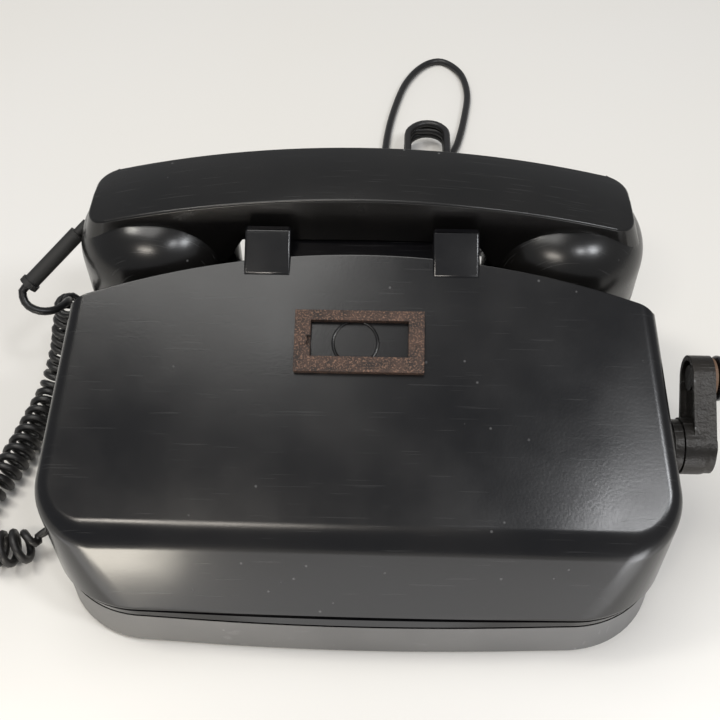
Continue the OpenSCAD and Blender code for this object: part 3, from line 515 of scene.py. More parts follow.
BAKELITE = Finish(
    "black_bakelite", (0.0025, 0.0025, 0.0034), (0.005, 0.0046, 0.005), 0.17,
    wear=0.07, dust=0.28, bump=0.04, spread=0.09,
)
FOOT_BAND = Finish(
    "scuffed_bakelite", (0.105, 0.104, 0.104), (0.15, 0.148, 0.146), 0.42,
    wear=0.25, dust=0.3, bump=0.08, spread=0.12,
)
HANDLE = Finish(
    "handset_bakelite", (0.0045, 0.0043, 0.0042), (0.007, 0.0063, 0.0058), 0.22,
    wear=0.10, dust=0.35, bump=0.04, spread=0.08,
)
FINISHES = {
    "bakelite": BAKELITE,
    "bakelite_inner": Finish(
        "moulded_insulation", (0.012, 0.01, 0.009), (0.02, 0.015, 0.012), 0.5),
    "rubber_black": Finish(
        "black_rubber", (0.011, 0.011, 0.011), (0.017, 0.016, 0.015), 0.55, wear=0.1),
    "cord_black": Finish(
        "cord_jacket", (0.007, 0.007, 0.0075), (0.013, 0.012, 0.012), 0.36,
        wear=0.08, bump=0.06,
    ),
    "frame_steel": Rust(),
    "black_metal": Finish(
        "blackened_iron", (0.014, 0.013, 0.012), (0.032, 0.027, 0.022), 0.36,
        metal=0.5, wear=0.5, bump=0.4, coarse=1.6,
    ),
    "steel": Finish("steel", (0.42, 0.41, 0.40), (0.30, 0.28, 0.26), 0.32, metal=1.0),
    "zinc_plate": Finish(
        "zinc_plate", (0.50, 0.48, 0.42), (0.40, 0.37, 0.31), 0.38, metal=1.0),
    "magnet": Finish(
        "magnet_steel", (0.10, 0.10, 0.11), (0.06, 0.06, 0.065), 0.4,
        metal=0.9, coarse=0.6,
    ),
    "brass": Finish("brass", (0.58, 0.43, 0.19), (0.40, 0.28, 0.12), 0.34, metal=1.0),
    "copper_wire": Finish(
        "enamelled_copper", (0.36, 0.13, 0.055), (0.26, 0.09, 0.04), 0.35, metal=0.7),
    "ivory": Finish("ivory_plastic", (0.64, 0.60, 0.50), (0.55, 0.50, 0.40), 0.4),
    "fibre_washer": Finish(
        "brown_fibre", (0.15, 0.085, 0.05), (0.09, 0.05, 0.03), 0.6,
        bump=0.3, coarse=0.8),
    "alloy_can": Finish(
        "alloy_can", (0.55, 0.55, 0.54), (0.44, 0.44, 0.43), 0.35, metal=1.0),
    "tie_tape": Finish(
        "tie_tape", (0.014, 0.013, 0.012), (0.022, 0.02, 0.018), 0.7, wear=0.05),
}
# pieces that wear another slot's finish than their own
DARKENED = {"knob_spindle": "black_metal"}


def dress(
    piece: Object, finish: Surface, slot: str, body: str, *nodes: str
) -> Object:
    """Gives a new piece its finish and its body, and hides the nodes that it replaces.

    Args:
        piece: The settled piece.
        finish: Its material.
        slot: Not used.
        body: The body that it moves with.
        *nodes: The frame's nodes that it is drawn for.

    Returns:
        The piece.
    """
    piece.data.materials.clear()
    piece.data.materials.append(finish.make())
    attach(piece, body)
    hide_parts(*nodes)
    LOG.info("%s: %d faces, on %s", piece.name, len(piece.data.polygons), body)
    return piece


# ---- sub-assemblies ----


@dataclass
class Body:
    """The moulded body with its sloping face, and the base under it."""

    half_w: float = 122.0
    front_y: float = -94.7
    rear_y: float = 92.9
    bow: float = 2.4
    front_r: float = 40.0
    rim_r: float = 13.0
    rim_z: float = 75.0
    rear_r: float = 38.0
    taper: float = 5.0
    draft: float = 2.6
    lean: float = 20.2
    slope: float = 26.9
    crest_y: float = 17.5
    crest_z: float = 112.8
    crest_r: float = 364.9
    foot_z: float = 2.0
    joint_z: float = 23.3
    seam_z: float = 24.5
    bead_h: float = 2.9
    shelf_z: float = 56.0
    shelf_fall: float = 16.0
    roll: float = 6.5
    wall: float = 4.0
    saddle_z: float = 107.9
    cradle_half: float = 46.5
    cradle_back: float = 74.5
    prong_x: float = 36.5
    prong_w: float = 18.0
    prong_top: float = 119.3
    prong_drop: float = 4.0
    prong_back: float = 28.3
    prong_t: float = 3.8
    rear_prong: float = 64.9
    rear_t: float = 8.5
    rear_top: float = 117.3
    root_z: float = 95.0
    bore: tuple[float, float, float] = (25.0, 43.5, 3.85)
    shaft: tuple[float, float] = (-29.6, 56.0)
    bush_r: float = 10.7

    def slope_at(self, y: float) -> float:
        """Height of the sloping face at a depth."""
        return self.crest_z + math.tan(math.radians(self.slope)) * (y - self.crest_y)

    def level(self, name: str, inset: float, z: float) -> Object:
        """Cuts the body's plan at one height, as a flat face.

        Args:
            name: Name of the piece.
            inset: How far it lies inside the outer surface.
            z: The height.

        Returns:
            The flat outline with its round corners.
        """
        turn, drop = math.radians(self.taper), math.radians(self.draft)
        tip = math.radians(self.lean)
        up = max(0.0, z - self.seam_z)
        bow = max(0.0, self.bow - up * math.tan(tip))
        front = self.front_y + up * math.tan(tip) + inset / math.cos(tip)
        side_x = self.half_w - inset - z * math.tan(drop)
        share = min(1.0, up / (self.rim_z - self.seam_z))
        corner = self.front_r + (self.rim_r - self.front_r) * share
        bpy.ops.mesh.primitive_plane_add(size=600, location=(0, 0, z))
        piece = bpy.context.object
        piece.name = name
        fix_transform()
        pivot_y = self.front_y + self.front_r + 2.5
        for side in (-1, 1):
            outward = (side * math.cos(turn), math.sin(turn), 0)
            cut(piece, (side * side_x, pivot_y, z), outward)
        cut(piece, (0, front + bow, z), (0, -1, 0))
        cut(piece, (0, self.rear_y - inset, z), (0, 1, 0))
        sharp = math.tan(math.radians(45 + self.taper / 2))
        blunt = math.tan(math.radians(45 - self.taper / 2))
        tangents = (
            (True, max(2.0, corner - inset) * sharp, 20),
            (False, (self.rear_r - inset) * blunt, 16),
        )
        half = self.half_w - self.front_r - 3
        steps = 7
        with editing(piece):
            for ahead, length, segments in tangents:
                pick(
                    piece, Part.VERT,
                    lambda v: (v.co.y < 0) == ahead and abs(v.co.x) > half,
                )
                bpy.ops.mesh.bevel(
                    offset=length, segments=segments, affect="VERTICES",
                    clamp_overlap=False,
                )
            for i in range(1 - steps, steps):
                bpy.ops.mesh.select_all(action="SELECT")
                x = half * i / steps
                bpy.ops.mesh.bisect(plane_co=(x, 0, 0), plane_no=(1, 0, 0))
            for i in range(1 - steps, steps):
                x = half * i / steps
                pick(piece, Part.VERT, lambda v: at_x(v, x) and v.co.y < 0)
                bpy.ops.transform.translate(value=(0, -bow * (1 - (i / steps) ** 2), 0))
            bpy.ops.mesh.select_mode(type="FACE")
            bpy.ops.mesh.select_all(action="SELECT")
            bpy.ops.mesh.dissolve_faces()
            bpy.ops.mesh.select_all(action="SELECT")
            bpy.ops.mesh.delete(type="ONLY_FACE")
        return piece

    def outline(self, name: str, inset: float, low: float, high: float) -> Object:
        """Draws the body's plan up through its heights, with leaning walls.

        Args:
            name: Name of the piece.
            inset: How far it lies inside the outer surface.
            low: Height of its underside.
            high: Height of its top.

        Returns:
            The closed block.
        """
        flat = self.seam_z + self.bow / math.tan(math.radians(self.lean))
        bends = (self.seam_z, flat, self.rim_z)
        heights = [low, *(z for z in bends if low + 0.5 < z < high - 0.5), high]
        levels = [self.level(name, inset, z) for z in heights]
        bpy.ops.object.select_all(action="DESELECT")
        for piece in levels:
            piece.select_set(True)
        piece = levels[0]
        bpy.context.view_layer.objects.active = piece
        bpy.ops.object.join()

        def lies(edge: Edge, *at: float) -> bool:
            """Whether an edge lies at one of some heights."""
            return any(all(abs(v.co.z - z) < 0.01 for v in edge.verts) for z in at)

        with editing(piece):
            for z0, z1 in zip(heights, heights[1:]):
                pick(piece, Part.EDGE, lambda e: lies(e, z0, z1))
                bpy.ops.mesh.bridge_edge_loops()
            for z in (low, high):
                pick(piece, Part.EDGE, lambda e: lies(e, z))
                bpy.ops.mesh.edge_face_add()
            face_outwards()
        return piece

    def behind(self, inset: float) -> Object:
        """The room behind the crest and over the shelf.

        Args:
            inset: How far the crest and the shelf lie inside the outer surface.

        Returns:
            A cutter of that shape.
        """
        k = self.shelf_fall / (self.rear_y - self.crest_y)
        room = block("room", (-200, self.front_y + 20, 20), (200, 200, 260))
        cut(room, (0, self.crest_y, self.shelf_z - inset), (0, -k, -1))
        middle = self.crest_y - self.crest_r
        axis = ((0, middle, -10), (0, middle, 300))
        combine(room, rod("front", self.crest_r - inset, *axis, 480), Join.CUT)
        return room

    def hollow(self) -> Object:
        """The room inside the body's walls.

        Returns:
            A cutter of that shape.
        """
        room = self.outline("hollow", self.wall, 10, 126)
        y = self.front_y + 60
        thick = self.wall / math.cos(math.radians(self.slope))
        cut(room, (0, y, self.slope_at(y) - thick), self.up())
        combine(room, self.behind(self.wall), Join.CUT)
        half = self.cradle_half - self.wall
        top = (half, self.cradle_back - self.wall, self.saddle_z - self.wall)
        combine(room, block("inner", (-half, self.crest_y - 8, 30), top), Join.UNION)
        return room

    def up(self) -> tuple[float, float, float]:
        """Gives the way out of the sloping face.

        Returns:
            The face's normal.
        """
        turn = math.radians(self.slope)
        return (0, -math.sin(turn), math.cos(turn))

    def prong(self, side: int, back: bool) -> Object:
        """One prong of the cradle.

        Args:
            side: -1 for the left, 1 for the right.
            back: Whether it stands behind the handle.

        Returns:
            The prong, reaching down into the body.
        """
        x = side * self.prong_x
        half = self.prong_w / 2
        if back:
            y0, y1 = self.rear_prong, self.rear_prong + self.rear_t
            high = (x + half, y1, self.rear_top)
            piece = block("prong", (x - half, y0, self.root_z), high)
        else:
            y0, y1 = self.crest_y - 8.6, self.prong_back
            high = (x + half, y1, self.prong_top)
            piece = block("prong", (x - half, y0, self.root_z), high)
            rise = self.prong_top - self.slope_at(y0)
            run = y1 - self.prong_t - y0
            length = math.hypot(rise, run)
            face = (0, -rise / length, run / length)
            cut(piece, (x, y0, self.slope_at(y0) + 0.4), face)
            length = math.hypot(self.prong_drop, self.prong_t)
            fall = (0, self.prong_drop / length, self.prong_t / length)
            cut(piece, (x, y1, self.prong_top - self.prong_drop), fall)
        round_edges(piece, 1.2, 4, over(self.root_z + 0.5))

        def upright(edge: Edge) -> bool:
            """Whether an edge stands upright."""
            along = (edge.verts[1].co - edge.verts[0].co).normalized()
            return abs(along.z) > 0.98 and edge.calc_length() > 6

        round_edges(piece, 1.2, 3, upright)
        return piece

    def build_housing(self) -> Object:
        """Models the body above the seam.

        Returns:
            The settled body.
        """
        piece = self.outline("housing_shell", 0, self.joint_z, 130)
        y = self.front_y + 60
        cut(piece, (0, y, self.slope_at(y)), self.up())
        up = Vector(self.up())
        round_edges(
            piece, self.roll, 9,
            lambda e: sum(f.normal.dot(up) > 0.999 for f in e.link_faces) == 1
            and all(f.normal.y < 0.6 for f in e.link_faces),
        )
        combine(piece, self.behind(0), Join.CUT)

        def crest(edge: Edge) -> bool:
            """Whether an edge runs along the crest."""
            faces = edge.link_faces
            level = [f for f in faces if abs(f.normal.z) > 0.6]
            wall = [f for f in faces if f.normal.y > 0.8 and abs(f.normal.z) < 0.01]
            above = edge.verts[0].co.z > self.shelf_z + 20
            return len(level) == 1 and len(wall) == 1 and above

        round_edges(piece, 1.0, 3, crest)

        def shelf_rim(edge: Edge) -> bool:
            """Whether an edge runs round the outside of the shelf."""
            faces = edge.link_faces
            top = [f for f in faces if f.normal.z > 0.9 and f.normal.y > 0.05]
            wall = [f for f in faces if abs(f.normal.z) < 0.2]
            middle = (edge.verts[0].co + edge.verts[1].co) / 2
            outside = self.crest_y - self.crest_r
            behind = math.hypot(middle.x, middle.y - outside) > self.crest_r + 0.5
            return len(top) == 1 and len(wall) == 1 and behind

        round_edges(piece, 5, 6, shelf_rim)
        cradle = block(
            "cradle",
            (-self.cradle_half, self.crest_y - 6, 45),
            (self.cradle_half, self.cradle_back, self.saddle_z),
        )
        round_edges(
            cradle, 2, 4,
            lambda e: max(v.co.z for v in e.verts) > self.saddle_z - 1
            and max(v.co.y for v in e.verts) > self.crest_y + 5,
        )
        combine(piece, cradle, Join.UNION)
        x, y, radius = self.bore
        for side in (-1, 1):
            for back in (False, True):
                combine(piece, self.prong(side, back), Join.UNION)
            bore = rod("bore", radius, (side * x, y, 95), (side * x, y, 120), 32)
            combine(piece, bore, Join.CUT)
        combine(piece, self.ring(), Join.CUT)
        combine(piece, self.hollow(), Join.CUT)
        bush = rod("bush", self.bush_r, (115, *self.shaft), (126, *self.shaft), 48)
        combine(piece, bush, Join.CUT)
        self.groove(piece, self.joint_z, self.seam_z, 1.1)
        bead_top = self.seam_z + self.bead_h
        self.groove(piece, bead_top, bead_top + 1.4, 1.0)
        return settle(piece)

    def groove(self, piece: Object, low: float, high: float, depth: float) -> None:
        """Sinks a strip of the outer walls.

        Args:
            piece: The body.
            low: Lower edge of the groove.
            high: Upper edge of the groove.
            depth: How far it goes in.
        """

        def strip(face: bmesh.types.BMFace) -> bool:
            """Whether a face is part of the strip."""
            spot = face.calc_center_median()
            level = low < spot.z < high and abs(face.normal.z) <= 0.5
            return level and face.normal.dot(Vector((spot.x, spot.y, 0))) > 0

        for z in (low, high):
            if z > self.joint_z:
                cut(piece, (0, 0, z), (0, 0, 1), clear=False)
        with editing(piece):
            pick(piece, Part.FACE, strip)
            bpy.ops.mesh.extrude_region_shrink_fatten(
                TRANSFORM_OT_shrink_fatten={"value": -depth}
            )

    def ring(self) -> Object:
        """Draws the groove that rings the middle of the card frame.

        Returns:
            A cutter of that shape.
        """
        down = 36.0
        turn = math.radians(self.slope)
        y = self.crest_y - down * math.cos(turn)
        bpy.ops.mesh.primitive_torus_add(
            major_radius=8.5, minor_radius=0.62, major_segments=72, minor_segments=12,
            location=(-1.5, y, self.slope_at(y)), rotation=(turn, 0, 0),
        )
        tool = bpy.context.object
        fix_transform()
        return tool

    def build_base(self) -> Object:
        """Models the base below the seam.

        Returns:
            The settled base.
        """
        piece = self.outline("base_shell", 0.05, self.foot_z, self.joint_z)
        round_edges(piece, 1.0, 3, under(self.foot_z + 0.01))
        round_edges(piece, 0.5, 2, over(self.joint_z - 0.01))
        room = self.outline("room", self.wall, self.foot_z + 2.5, 40)
        combine(piece, room, Join.CUT)
        return settle(piece)


@dataclass
class Handset:
    """The handset: a bowed handle with a low ridge and two round cups."""

    middle_x: float = -1.5
    y: float = 46.5
    width: float = 34.0
    under_z: float = 109.0
    ridge_z: float = 131.0
    ridge_h: float = 2.0
    sag_r: float = 414.184
    cup_x: float = 85.0
    cup_r: float = 33.0
    cup_z: float = 78.0
    dome_r: float = 24.0
    dome_top: float = 116.0
    tip_x: float = 109.0
    hold_x: float = 48.0

    def build(self) -> Object:
        """Models the handle and its cups as one piece.

        Returns:
            The settled handset shell.
        """
        half = self.width / 2
        floor = 96
        piece = block(
            "handset_shell",
            (-self.tip_x, self.y - half, floor),
            (self.tip_x, self.y + half, self.ridge_z),
        )
        steps = 14
        for i in range(1 - steps, steps):
            cut(piece, (self.tip_x * i / steps, 0, 0), (1, 0, 0), clear=False)
        with editing(piece):
            pick(piece, Part.FACE, lambda f: f.normal.z > 0.9)
            bpy.ops.mesh.bisect(plane_co=(0, self.y, 0), plane_no=(0, 1, 0))
            pick(piece, Part.VERT, lambda v: v.co.z > 120 and abs(v.co.y - self.y) > 1)
            bpy.ops.transform.translate(value=(0, 0, -self.ridge_h))
            for i in range(-steps, steps + 1):
                x = self.tip_x * i / steps
                fall = self.sag_r - math.sqrt(self.sag_r**2 - x * x)
                pick(piece, Part.VERT, lambda v: at_x(v, x) and v.co.z > 120)
                bpy.ops.transform.translate(value=(0, 0, -fall))
                if abs(x) < self.hold_x:
                    pick(piece, Part.VERT, lambda v: at_x(v, x) and v.co.z < floor + 1)
                    lift = self.under_z - floor - x * x / 3000
                    bpy.ops.transform.translate(value=(0, 0, lift))
            for side in (-1, 1):
                tip = side * self.tip_x
                pick(piece, Part.VERT, lambda v: at_x(v, tip) and v.co.z < floor + 1)
                bpy.ops.transform.translate(value=(side * 6.6, 0, 2))
        round_edges(
            piece, 9, 8,
            lambda e: min(abs(v.co.x) for v in e.verts) > self.tip_x - 0.1
            and abs(e.verts[0].co.y - e.verts[1].co.y) < 0.1,
        )
        round_edges(piece, 0.9, 4, self.brow)
        for side in (-1, 1):
            combine(piece, self.cup(side), Join.UNION)
        with editing(piece):
            bpy.ops.mesh.select_all(action="SELECT")
            bpy.ops.transform.translate(value=(self.middle_x, 0, 0))
        return settle(piece, 24)

    def brow(self, edge: Edge) -> bool:
        """Says whether an edge runs between the handle's top and its sides.

        Args:
            edge: The edge.

        Returns:
            Whether it does.
        """
        top = [f for f in edge.link_faces if f.normal.z > 0.85]
        side = [f for f in edge.link_faces if abs(f.normal.z) < 0.5]
        return len(top) == 1 and len(side) == 1

    def cup(self, side: int) -> Object:
        """One cup with its domed back.

        Args:
            side: -1 for the left, 1 for the right.

        Returns:
            The closed cup.
        """
        x = side * self.cup_x
        top = (x, self.y, self.dome_top)
        cup = rod("cup", self.cup_r, (x, self.y, self.cup_z), top, 96)
        round_edges(cup, self.dome_r, 16, over(self.dome_top - 0.1))
        round_edges(cup, 0.5, 2, under(self.cup_z + 0.1))
        return cup


@dataclass
class Crank:
    """The ringing crank's arm."""

    shaft: tuple[float, float] = (-29.6, 56.0)
    angle: float = 38.0
    throw: float = 27.0
    hub_r: float = 11.2
    end_r: float = 9.0
    hub_x: float = 126.475
    arm_x: float = 129.975
    out_x: float = 138.475
    nose: float = 4.0

    def build(self) -> Object:
        """Models the arm: a round plate drawn out to the knob, on its hub.

        Returns:
            The settled arm.
        """
        turn = math.radians(self.angle)
        along = Vector((0, math.cos(turn), math.sin(turn)))
        centre = Vector((0, *self.shaft))
        knob = centre + along * self.throw
        plate_r = self.hub_r - 0.5
        inner, outer = (self.arm_x, *self.shaft), (self.out_x, *self.shaft)
        piece = rod("crank_web", plate_r, inner, outer, 56)
        with editing(piece):
            pick(piece, Part.VERT, lambda v: (v.co - centre).dot(along) > 0.1)
            bpy.ops.transform.translate(value=along * self.throw)
            share = self.end_r / plate_r
            bpy.ops.transform.resize(
                value=(1, share, share), center_override=(self.arm_x, *knob.yz)
            )
            pick(piece, Part.FACE, lambda f: f.normal.x < -0.9)
            bpy.ops.mesh.inset(thickness=2.0)
            bpy.ops.mesh.extrude_region_move(
                TRANSFORM_OT_translate={"value": (2.4, 0, 0)}
            )
        end = (self.out_x - 0.3, *self.shaft)
        hub = rod("hub", self.hub_r, (self.hub_x, *self.shaft), end, 64)
        round_edges(
            hub, self.nose, 6,
            lambda e: min(v.co.x for v in e.verts) > self.out_x - 0.4,
        )
        combine(piece, hub, Join.UNION)
        for spot, radius in ((centre, 4.0), (knob, 3.2)):
            bore = rod("bore", radius, (120, *spot.yz), (160, *spot.yz), 40)
            combine(piece, bore, Join.CUT)
        soften(piece, 0.7)
        return settle(piece)


@dataclass
class CardFrame:
    """The small rusted frame on the slope that held a card."""

    body: Body
    size: tuple[float, float, float] = (49.0, 24.0, 3.2)
    side_bar: float = 6.0
    foot_bar: float = 6.0
    head_bar: float = 4.0
    down: float = 36.0

    def build(self) -> Object:
        """Models the frame flat and lays it on the slope.

        Returns:
            The settled frame.
        """
        w, d, t = self.size
        piece = block("card_frame_soft", (-w / 2, -d / 2, 0), (w / 2, d / 2, t))
        low = (-w / 2 + self.side_bar, -d / 2 + self.foot_bar, -1)
        high = (w / 2 - self.side_bar, d / 2 - self.head_bar, 9)
        combine(piece, block("window", low, high), Join.CUT)
        slot_low = (low[0] - 1.4, low[1] - 1.5, t / 2 - 0.4)
        slot_high = (high[0] + 1.4, high[1] + 1.5, t / 2 + 0.4)
        combine(piece, block("channel", slot_low, slot_high), Join.CUT)
        notch = block("notch", (-w / 2 + 4.6, -1.8, t / 2), (-w / 2 + 8, 1.8, t + 2))
        combine(piece, notch, Join.CUT)
        soften(piece, 0.45)
        turn = math.radians(self.body.slope)
        y = self.body.crest_y - self.down * math.cos(turn)
        piece.location = (0, y, self.body.slope_at(y))
        piece.rotation_euler = (turn, 0, 0)
        fix_transform()
        return settle(piece)


# ---- cords ----


def smooth_line(points: Sequence[Point], step: float = 1.0) -> list[Vector]:
    """A smooth line through points.

    Args:
        points: The points that it passes through.
        step: Rough distance between the points of the result.

    Returns:
        The line's points.
    """
    q = [Vector(p) for p in points]
    line: list[Vector] = []
    for i in range(len(q) - 1):
        a, b, c, d = q[max(i - 1, 0)], q[i], q[i + 1], q[min(i + 2, len(q) - 1)]
        count = max(2, round((c - b).length / step))
        for j in range(count):
            t = j / count
            line.append(
                0.5 * (2 * b + (c - a) * t + (2 * a - 5 * b + 4 * c - d) * t * t
                       + (3 * b - 3 * c + d - a) * t**3)
            )
    return line + [q[-1]]


def spaced(line: Sequence[Vector], step: float) -> list[Vector]:
    """Sets points along a line at an even distance.

    Args:
        line: The line's points.
        step: The distance.

    Returns:
        The same line with the new points.
    """
    out, carry = [line[0]], 0.0
    for a, b in zip(line, line[1:]):
        run = (b - a).length
        at = step - carry
        while at <= run:
            out.append(a.lerp(b, at / run))
            at += step
        carry = (carry + run) % step
    if (out[-1] - line[-1]).length > step * 0.3:
        out.append(line[-1])
    else:
        out[-1] = line[-1]
    return out


def tube(name: str, line: Sequence[Vector], radius: float, sides: int) -> Object:
    """A round cord along a line, as a settled mesh.

    Args:
        name: Name of the piece.
        line: The points that it follows.
        radius: Its radius.
        sides: Faces around it.

    Returns:
        The cord.
    """
    data = bpy.data.curves.new(name, "CURVE")
    data.dimensions = "3D"
    data.bevel_depth = radius
    data.bevel_resolution = max(1, sides // 2 - 2)
    data.use_fill_caps = True
    data.twist_mode = "MINIMUM"
    spline = data.splines.new("POLY")
    spline.points.add(len(line) - 1)
    for spot, point in zip(spline.points, line):
        spot.co = (*point, 1)
    piece = bpy.data.objects.new(name, data)
    bpy.context.scene.collection.objects.link(piece)
    only(piece)
    bpy.ops.object.convert(target="MESH")
    piece = bpy.context.object
    with editing(piece):
        bpy.ops.mesh.select_all(action="SELECT")
        bpy.ops.mesh.remove_doubles(threshold=0.001)
        face_outwards()
    to_metres(piece)
    bpy.ops.object.shade_smooth_by_angle(angle=math.radians(60))
    return piece


@dataclass
class CurlyCord:
    """The handset's curled cord, from the base to the handset's sleeve."""

    strand: float = 3.5
    turn_r: float = 5.55
    pitch: float = 5.7
    slack: float = 0.9
    lead: float = 11.0
    tail: float = 38.0
    sleeve_at: tuple[float, float, float] = (-119.0, 46.5, 98.0)
    sleeve_to: tuple[float, float, float] = (-0.69128, -0.510946, -0.510946)
    sleeve_l: float = 33.0
    grommet: tuple[float, float, float] = (-129.5, -47.4, 12.5)
    curls: tuple[Point, ...] = (
        (-131, 38, 63), (-134, 42, 52), (-137.5, 41, 42), (-141, 40, 30),
        (-146, 36, 17), (-150, 29, 9), (-153, 15.5, 7.4), (-157, -5, 7.4),
        (-162, -22, 7.6), (-168, -36, 8.0), (-170, -48, 8.3),
        (-162, -56, 8.5), (-150, -57, 9.3), (-141, -55, 10),
    )

    def line(self) -> list[Vector]:
        """The cord's own line, from the grommet to the sleeve.

        Returns:
            Its points, close together.
        """
        tip = Vector(self.sleeve_at) + Vector(self.sleeve_to) * (self.sleeve_l + 0.5)
        out = tip + Vector(self.sleeve_to) * 4
        top = [
            tip - Vector(self.sleeve_to) * 2, tip, out, (-143.5, 24, 74.5),
            (-138.5, 23, 71.5), (-133.5, 26, 69), (-131, 32, 66.5),
        ]
        end = Vector(self.grommet)
        start = [end + Vector((4, 0, 0)), end, (-135, -51, 11.5)]
        step = 0.32
        route = smooth_line([*start, *reversed(self.curls), *reversed(top)], 0.8)
        axis = spaced(route, step)
        last = len(axis) - 1
        stop = step * last - self.tail
        side = Vector((0, 1, 0))
        points, angle = [], 0.0
        for i, spot in enumerate(axis):
            at = step * i
            ahead = (axis[min(i + 1, last)] - axis[max(i - 1, 0)]).normalized()
            side = (side - ahead * side.dot(ahead)).normalized()
            swell = min(1.0, max(0.0, min(at - self.lead, stop - at) / 7))
            if swell > 0:
                angle += 2 * math.pi * step / self.pitch
            out = side * math.cos(angle) + ahead.cross(side) * math.sin(angle)
            loose = self.slack * min(1.0, max(0.0, (75 - at) / 50))
            points.append(spot + out * (self.turn_r + loose) * swell)
        return points

    def dress(self) -> None:
        """Builds the curled cord, gives it its finish and hides the frame's cord."""
        line = spaced(self.line(), 2.4)
        cord = tube("curled_flex", line, self.strand / 2, 8)
        cord.data.materials.append(FINISHES["cord_black"].make())
        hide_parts("curly_cord")
        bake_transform(cord)


@dataclass
class LineCord:
    """The line cord: a loop on the table, a tied hank and a free tail."""

    width: float = 4.4
    hank: tuple[float, float] = (33.0, 200.0)
    fold_r: float = 11.8
    straight: float = 32.0
    turns: float = 3.0
    lay_z: float = 2.3
    rise: float = 4.5
    tie_y: float = 188.0
    first: tuple[Point, ...] = (
        (14, 104, 12.5), (14, 113, 12.5), (14, 126, 9), (12, 145, 2.4),
        (9, 170, 2.3), (7, 205, 2.3), (8, 240, 2.3), (12, 272, 2.3),
        (20, 306, 2.3), (32, 328, 2.3), (45, 334, 2.3), (57, 320, 2.3),
        (61, 296, 2.3), (58, 268, 2.3), (53, 242, 2.3), (48.5, 228, 2.3),
    )
    last: tuple[Point, ...] = (
        (46, 172, 13), (49, 156, 8), (56, 145, 3), (68, 140, 2.3),
        (84, 145, 2.3), (98, 154, 2.3),
    )

    def winding(self) -> list[Vector]:
        """The hank's turns, laid one on the other and pinched at the tie.

        Returns:
            Points from the right-hand side round and round, rising.
        """
        half, fold = self.straight, self.fold_r
        bend = math.pi * fold
        lap = 4 * half + 2 * bend
        lap_points = 60
        points = []
        for i in range(round(self.turns * lap_points) + 1):
            turn = i / lap_points
            run = (lap * i / lap_points + 18) % lap
            wobble = 1.3 * math.sin(1.7 * math.floor(turn + 0.2) + 0.6)
            if run < 2 * half:
                x, y = fold, half - run
            elif run < 2 * half + bend:
                a = (run - 2 * half) / fold
                x, y = fold * math.cos(a), -half - fold * math.sin(a)
            elif run < 4 * half + bend:
                x, y = -fold, run - 3 * half - bend
            else:
                a = (run - 4 * half - bend) / fold
                x, y = -fold * math.cos(a), half + fold * math.sin(a)
            spot_y = self.hank[1] + y + wobble
            pinch = 1 - 0.42 * math.exp(-(((spot_y - self.tie_y) / 13) ** 2))
            height = self.lay_z + self.rise * turn
            points.append(Vector((self.hank[0] + x * pinch, spot_y, height)))
        return points

    def dress(self) -> None:
        """Builds the cord with its hank, and the tie round it."""
        points = [*map(Vector, self.first), *self.winding(), *map(Vector, self.last)]
        line = spaced(smooth_line(points, 1.5), 3.0)
        cord = tube("line_flex", line, self.width / 2, 10)
        stands_for = ("line_cord", "line_hank", "line_tail")
        dress(cord, FINISHES["cord_black"], "cord_black", "base", *stands_for)
        tie = dress(self.tie(), FINISHES["tie_tape"], "tie_tape", "base", "hank_tie")

    def tie(self) -> Object:
        """The tape tied round the hank's waist.

        Returns:
            The settled tie.
        """
        half, top = 10.2, self.lay_z + self.rise * self.turns + 3.2
        x, y = self.hank[0], self.tie_y
        piece = block("tape_tie", (x - half, y - 3.5, 0.1), (x + half, y + 3.5, top))
        round_edges(piece, 4, 5, lambda e: abs(e.verts[0].co.y - e.verts[1].co.y) > 1)
        with editing(piece):
            pick(piece, Part.FACE, lambda f: abs(f.normal.y) > 0.9)
            bpy.ops.mesh.inset(thickness=1.1)
            bpy.ops.mesh.delete(type="FACE")
        with editing(piece):
            face_outwards()
        return settle(piece)


# ---- the other pieces and the studio ----


def dress_frame() -> None:
    """Gives the frame's own nodes their finishes, by the record's slots."""
    for row in frame["record"]["subparts"]:
        node = frame["nodes"].get(row["node"])
        if node is None:
            continue
        finish = FINISHES[DARKENED.get(row["node"], row["material_slot"])].make()
        for slot in node.material_slots:
            slot.material = finish


@dataclass(frozen=True)
class Lamp:
    """A soft area light: places in metres, power in watts."""

    name: str
    spot: Point
    aim: Point
    size: tuple[float, float]
    power: float
    tint: Tint

    def add(self) -> None:
        """Adds the light, turned to the point that it faces."""
        aim = Vector(self.aim) - Vector(self.spot)
        turn = aim.to_track_quat("-Z", "Y").to_euler()
        bpy.ops.object.light_add(type="AREA", location=self.spot, rotation=turn)
        light = bpy.context.object
        light.name = self.name
        light.data.shape = "RECTANGLE"
        light.data.size, light.data.size_y = self.size
        light.data.energy = self.power
        light.data.color = self.tint


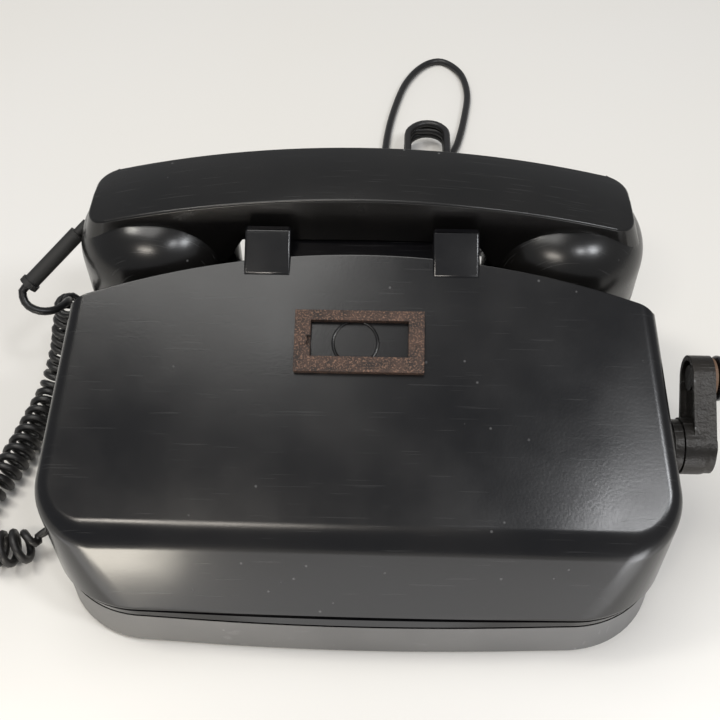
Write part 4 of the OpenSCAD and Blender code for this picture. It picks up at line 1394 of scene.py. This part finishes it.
# the last three stand on the table before the body and light its front
LAMPS = (
    Lamp("ceiling", (-0.3, 0.25, 1.9), (0, 0.1, 0), (1.3, 0.8), 12.5, (1, 0.985, 0.95)),
    Lamp("window_left", (-0.72, 0.05, 1.32), (-0.05, 0, 0.05), (0.2, 0.24), 3.4,
         (1, 0.97, 0.9)),
    Lamp("window_right", (0.8, -0.46, 1.18), (0, 0, 0.05), (0.18, 0.24), 5,
         (0.95, 0.97, 1)),
    Lamp("rim_left", (-0.41, -0.92, 1.26), (-0.08, -0.08, 0.06), (0.4, 0.14), 5,
         (1, 0.93, 0.84)),
    Lamp("rim_right", (0.49, -0.65, 1.387), (0.07, -0.07, 0.07), (0.12, 0.12), 2.8,
         (0.97, 0.98, 1)),
    Lamp("bright_spot", (-0.152, -0.2, 0.004), (-0.11, -0.09, 0.04), (0.07, 0.045),
         0.15, (1, 0.93, 0.8)),
    Lamp("bright_side", (0.135, -0.185, 0.004), (0.075, -0.085, 0.045), (0.05, 0.11),
         0.12, (0.96, 0.97, 1)),
    Lamp("near_table", (-0.02, -0.2, 0.003), (-0.02, -0.2, 1), (0.46, 0.15), 0.2,
         (0.98, 0.98, 1)),
)


@dataclass
class Studio:
    """Table, light and camera."""

    eye: tuple[float, float, float] = (-15.86, -255.2, 363.55)
    right: tuple[float, float, float] = (0.99947594, 0.03164431, -0.00681842)
    up: tuple[float, float, float] = (-0.01940149, 0.75421296, 0.6563432)
    lens: float = 47.5

    def camera(self) -> None:
        """Adds the camera."""
        bpy.ops.object.camera_add()
        camera = bpy.context.object
        right, up = Vector(self.right), Vector(self.up)
        turn = Matrix((right, up, right.cross(up))).transposed().to_4x4()
        camera.matrix_world = Matrix.Translation(Vector(self.eye) * MM) @ turn
        camera.data.lens = self.lens
        camera.data.sensor_width = 36
        camera.data.clip_start = 0.01
        bpy.context.scene.camera = camera

    def table(self) -> None:
        """Adds the pale table."""
        bpy.ops.mesh.primitive_plane_add(size=6, location=(0, 0.4, 0))
        floor = bpy.context.object
        floor.name = "table"
        fix_transform()
        material, g = new_material("pale_table")
        shader = g.tree.nodes[SHADER]
        where = g.add("ShaderNodeTexCoord").outputs["Object"]
        cloud = g.span(g.noise(3.0, 3, where), 0.3, 0.7)
        colour = g.blend(cloud, (0.78, 0.76, 0.72, 1), (0.79, 0.775, 0.75, 1))
        g.tree.links.new(colour, shader.inputs["Base Color"])
        shader.inputs["Roughness"].default_value = 0.6
        floor.data.materials.append(material)

    def light(self) -> None:
        """Adds the even sky and the lamps."""
        world = bpy.data.worlds.new("room")
        world.use_nodes = True
        sky = world.node_tree.nodes["Background"]
        sky.inputs["Color"].default_value = (0.95, 0.97, 1.0, 1)
        sky.inputs["Strength"].default_value = 0.33
        bpy.context.scene.world = world
        for lamp in LAMPS:
            lamp.add()
        bpy.context.scene.view_settings.view_transform = "Standard"

    def build(self) -> None:
        """Sets up the whole studio."""
        self.camera()
        self.table()
        self.light()


def main() -> None:
    """Builds every piece in order."""
    Studio().build()
    dress_frame()
    CurlyCord().dress()
    LineCord().dress()
    body = Body()
    dress(body.build_housing(), BAKELITE, "bakelite", "base", "housing")
    dress(body.build_base(), FOOT_BAND, "bakelite", "base", "base_pan")
    dress(Handset().build(), HANDLE, "bakelite", "handset", "handset_body")
    dress(Crank().build(), FINISHES["black_metal"], "black_metal", "crank", "crank_arm")
    card_frame = CardFrame(body).build()
    dress(card_frame, FINISHES["frame_steel"], "frame_steel", "base", "card_frame")


if __name__ == "__main__":
    main()
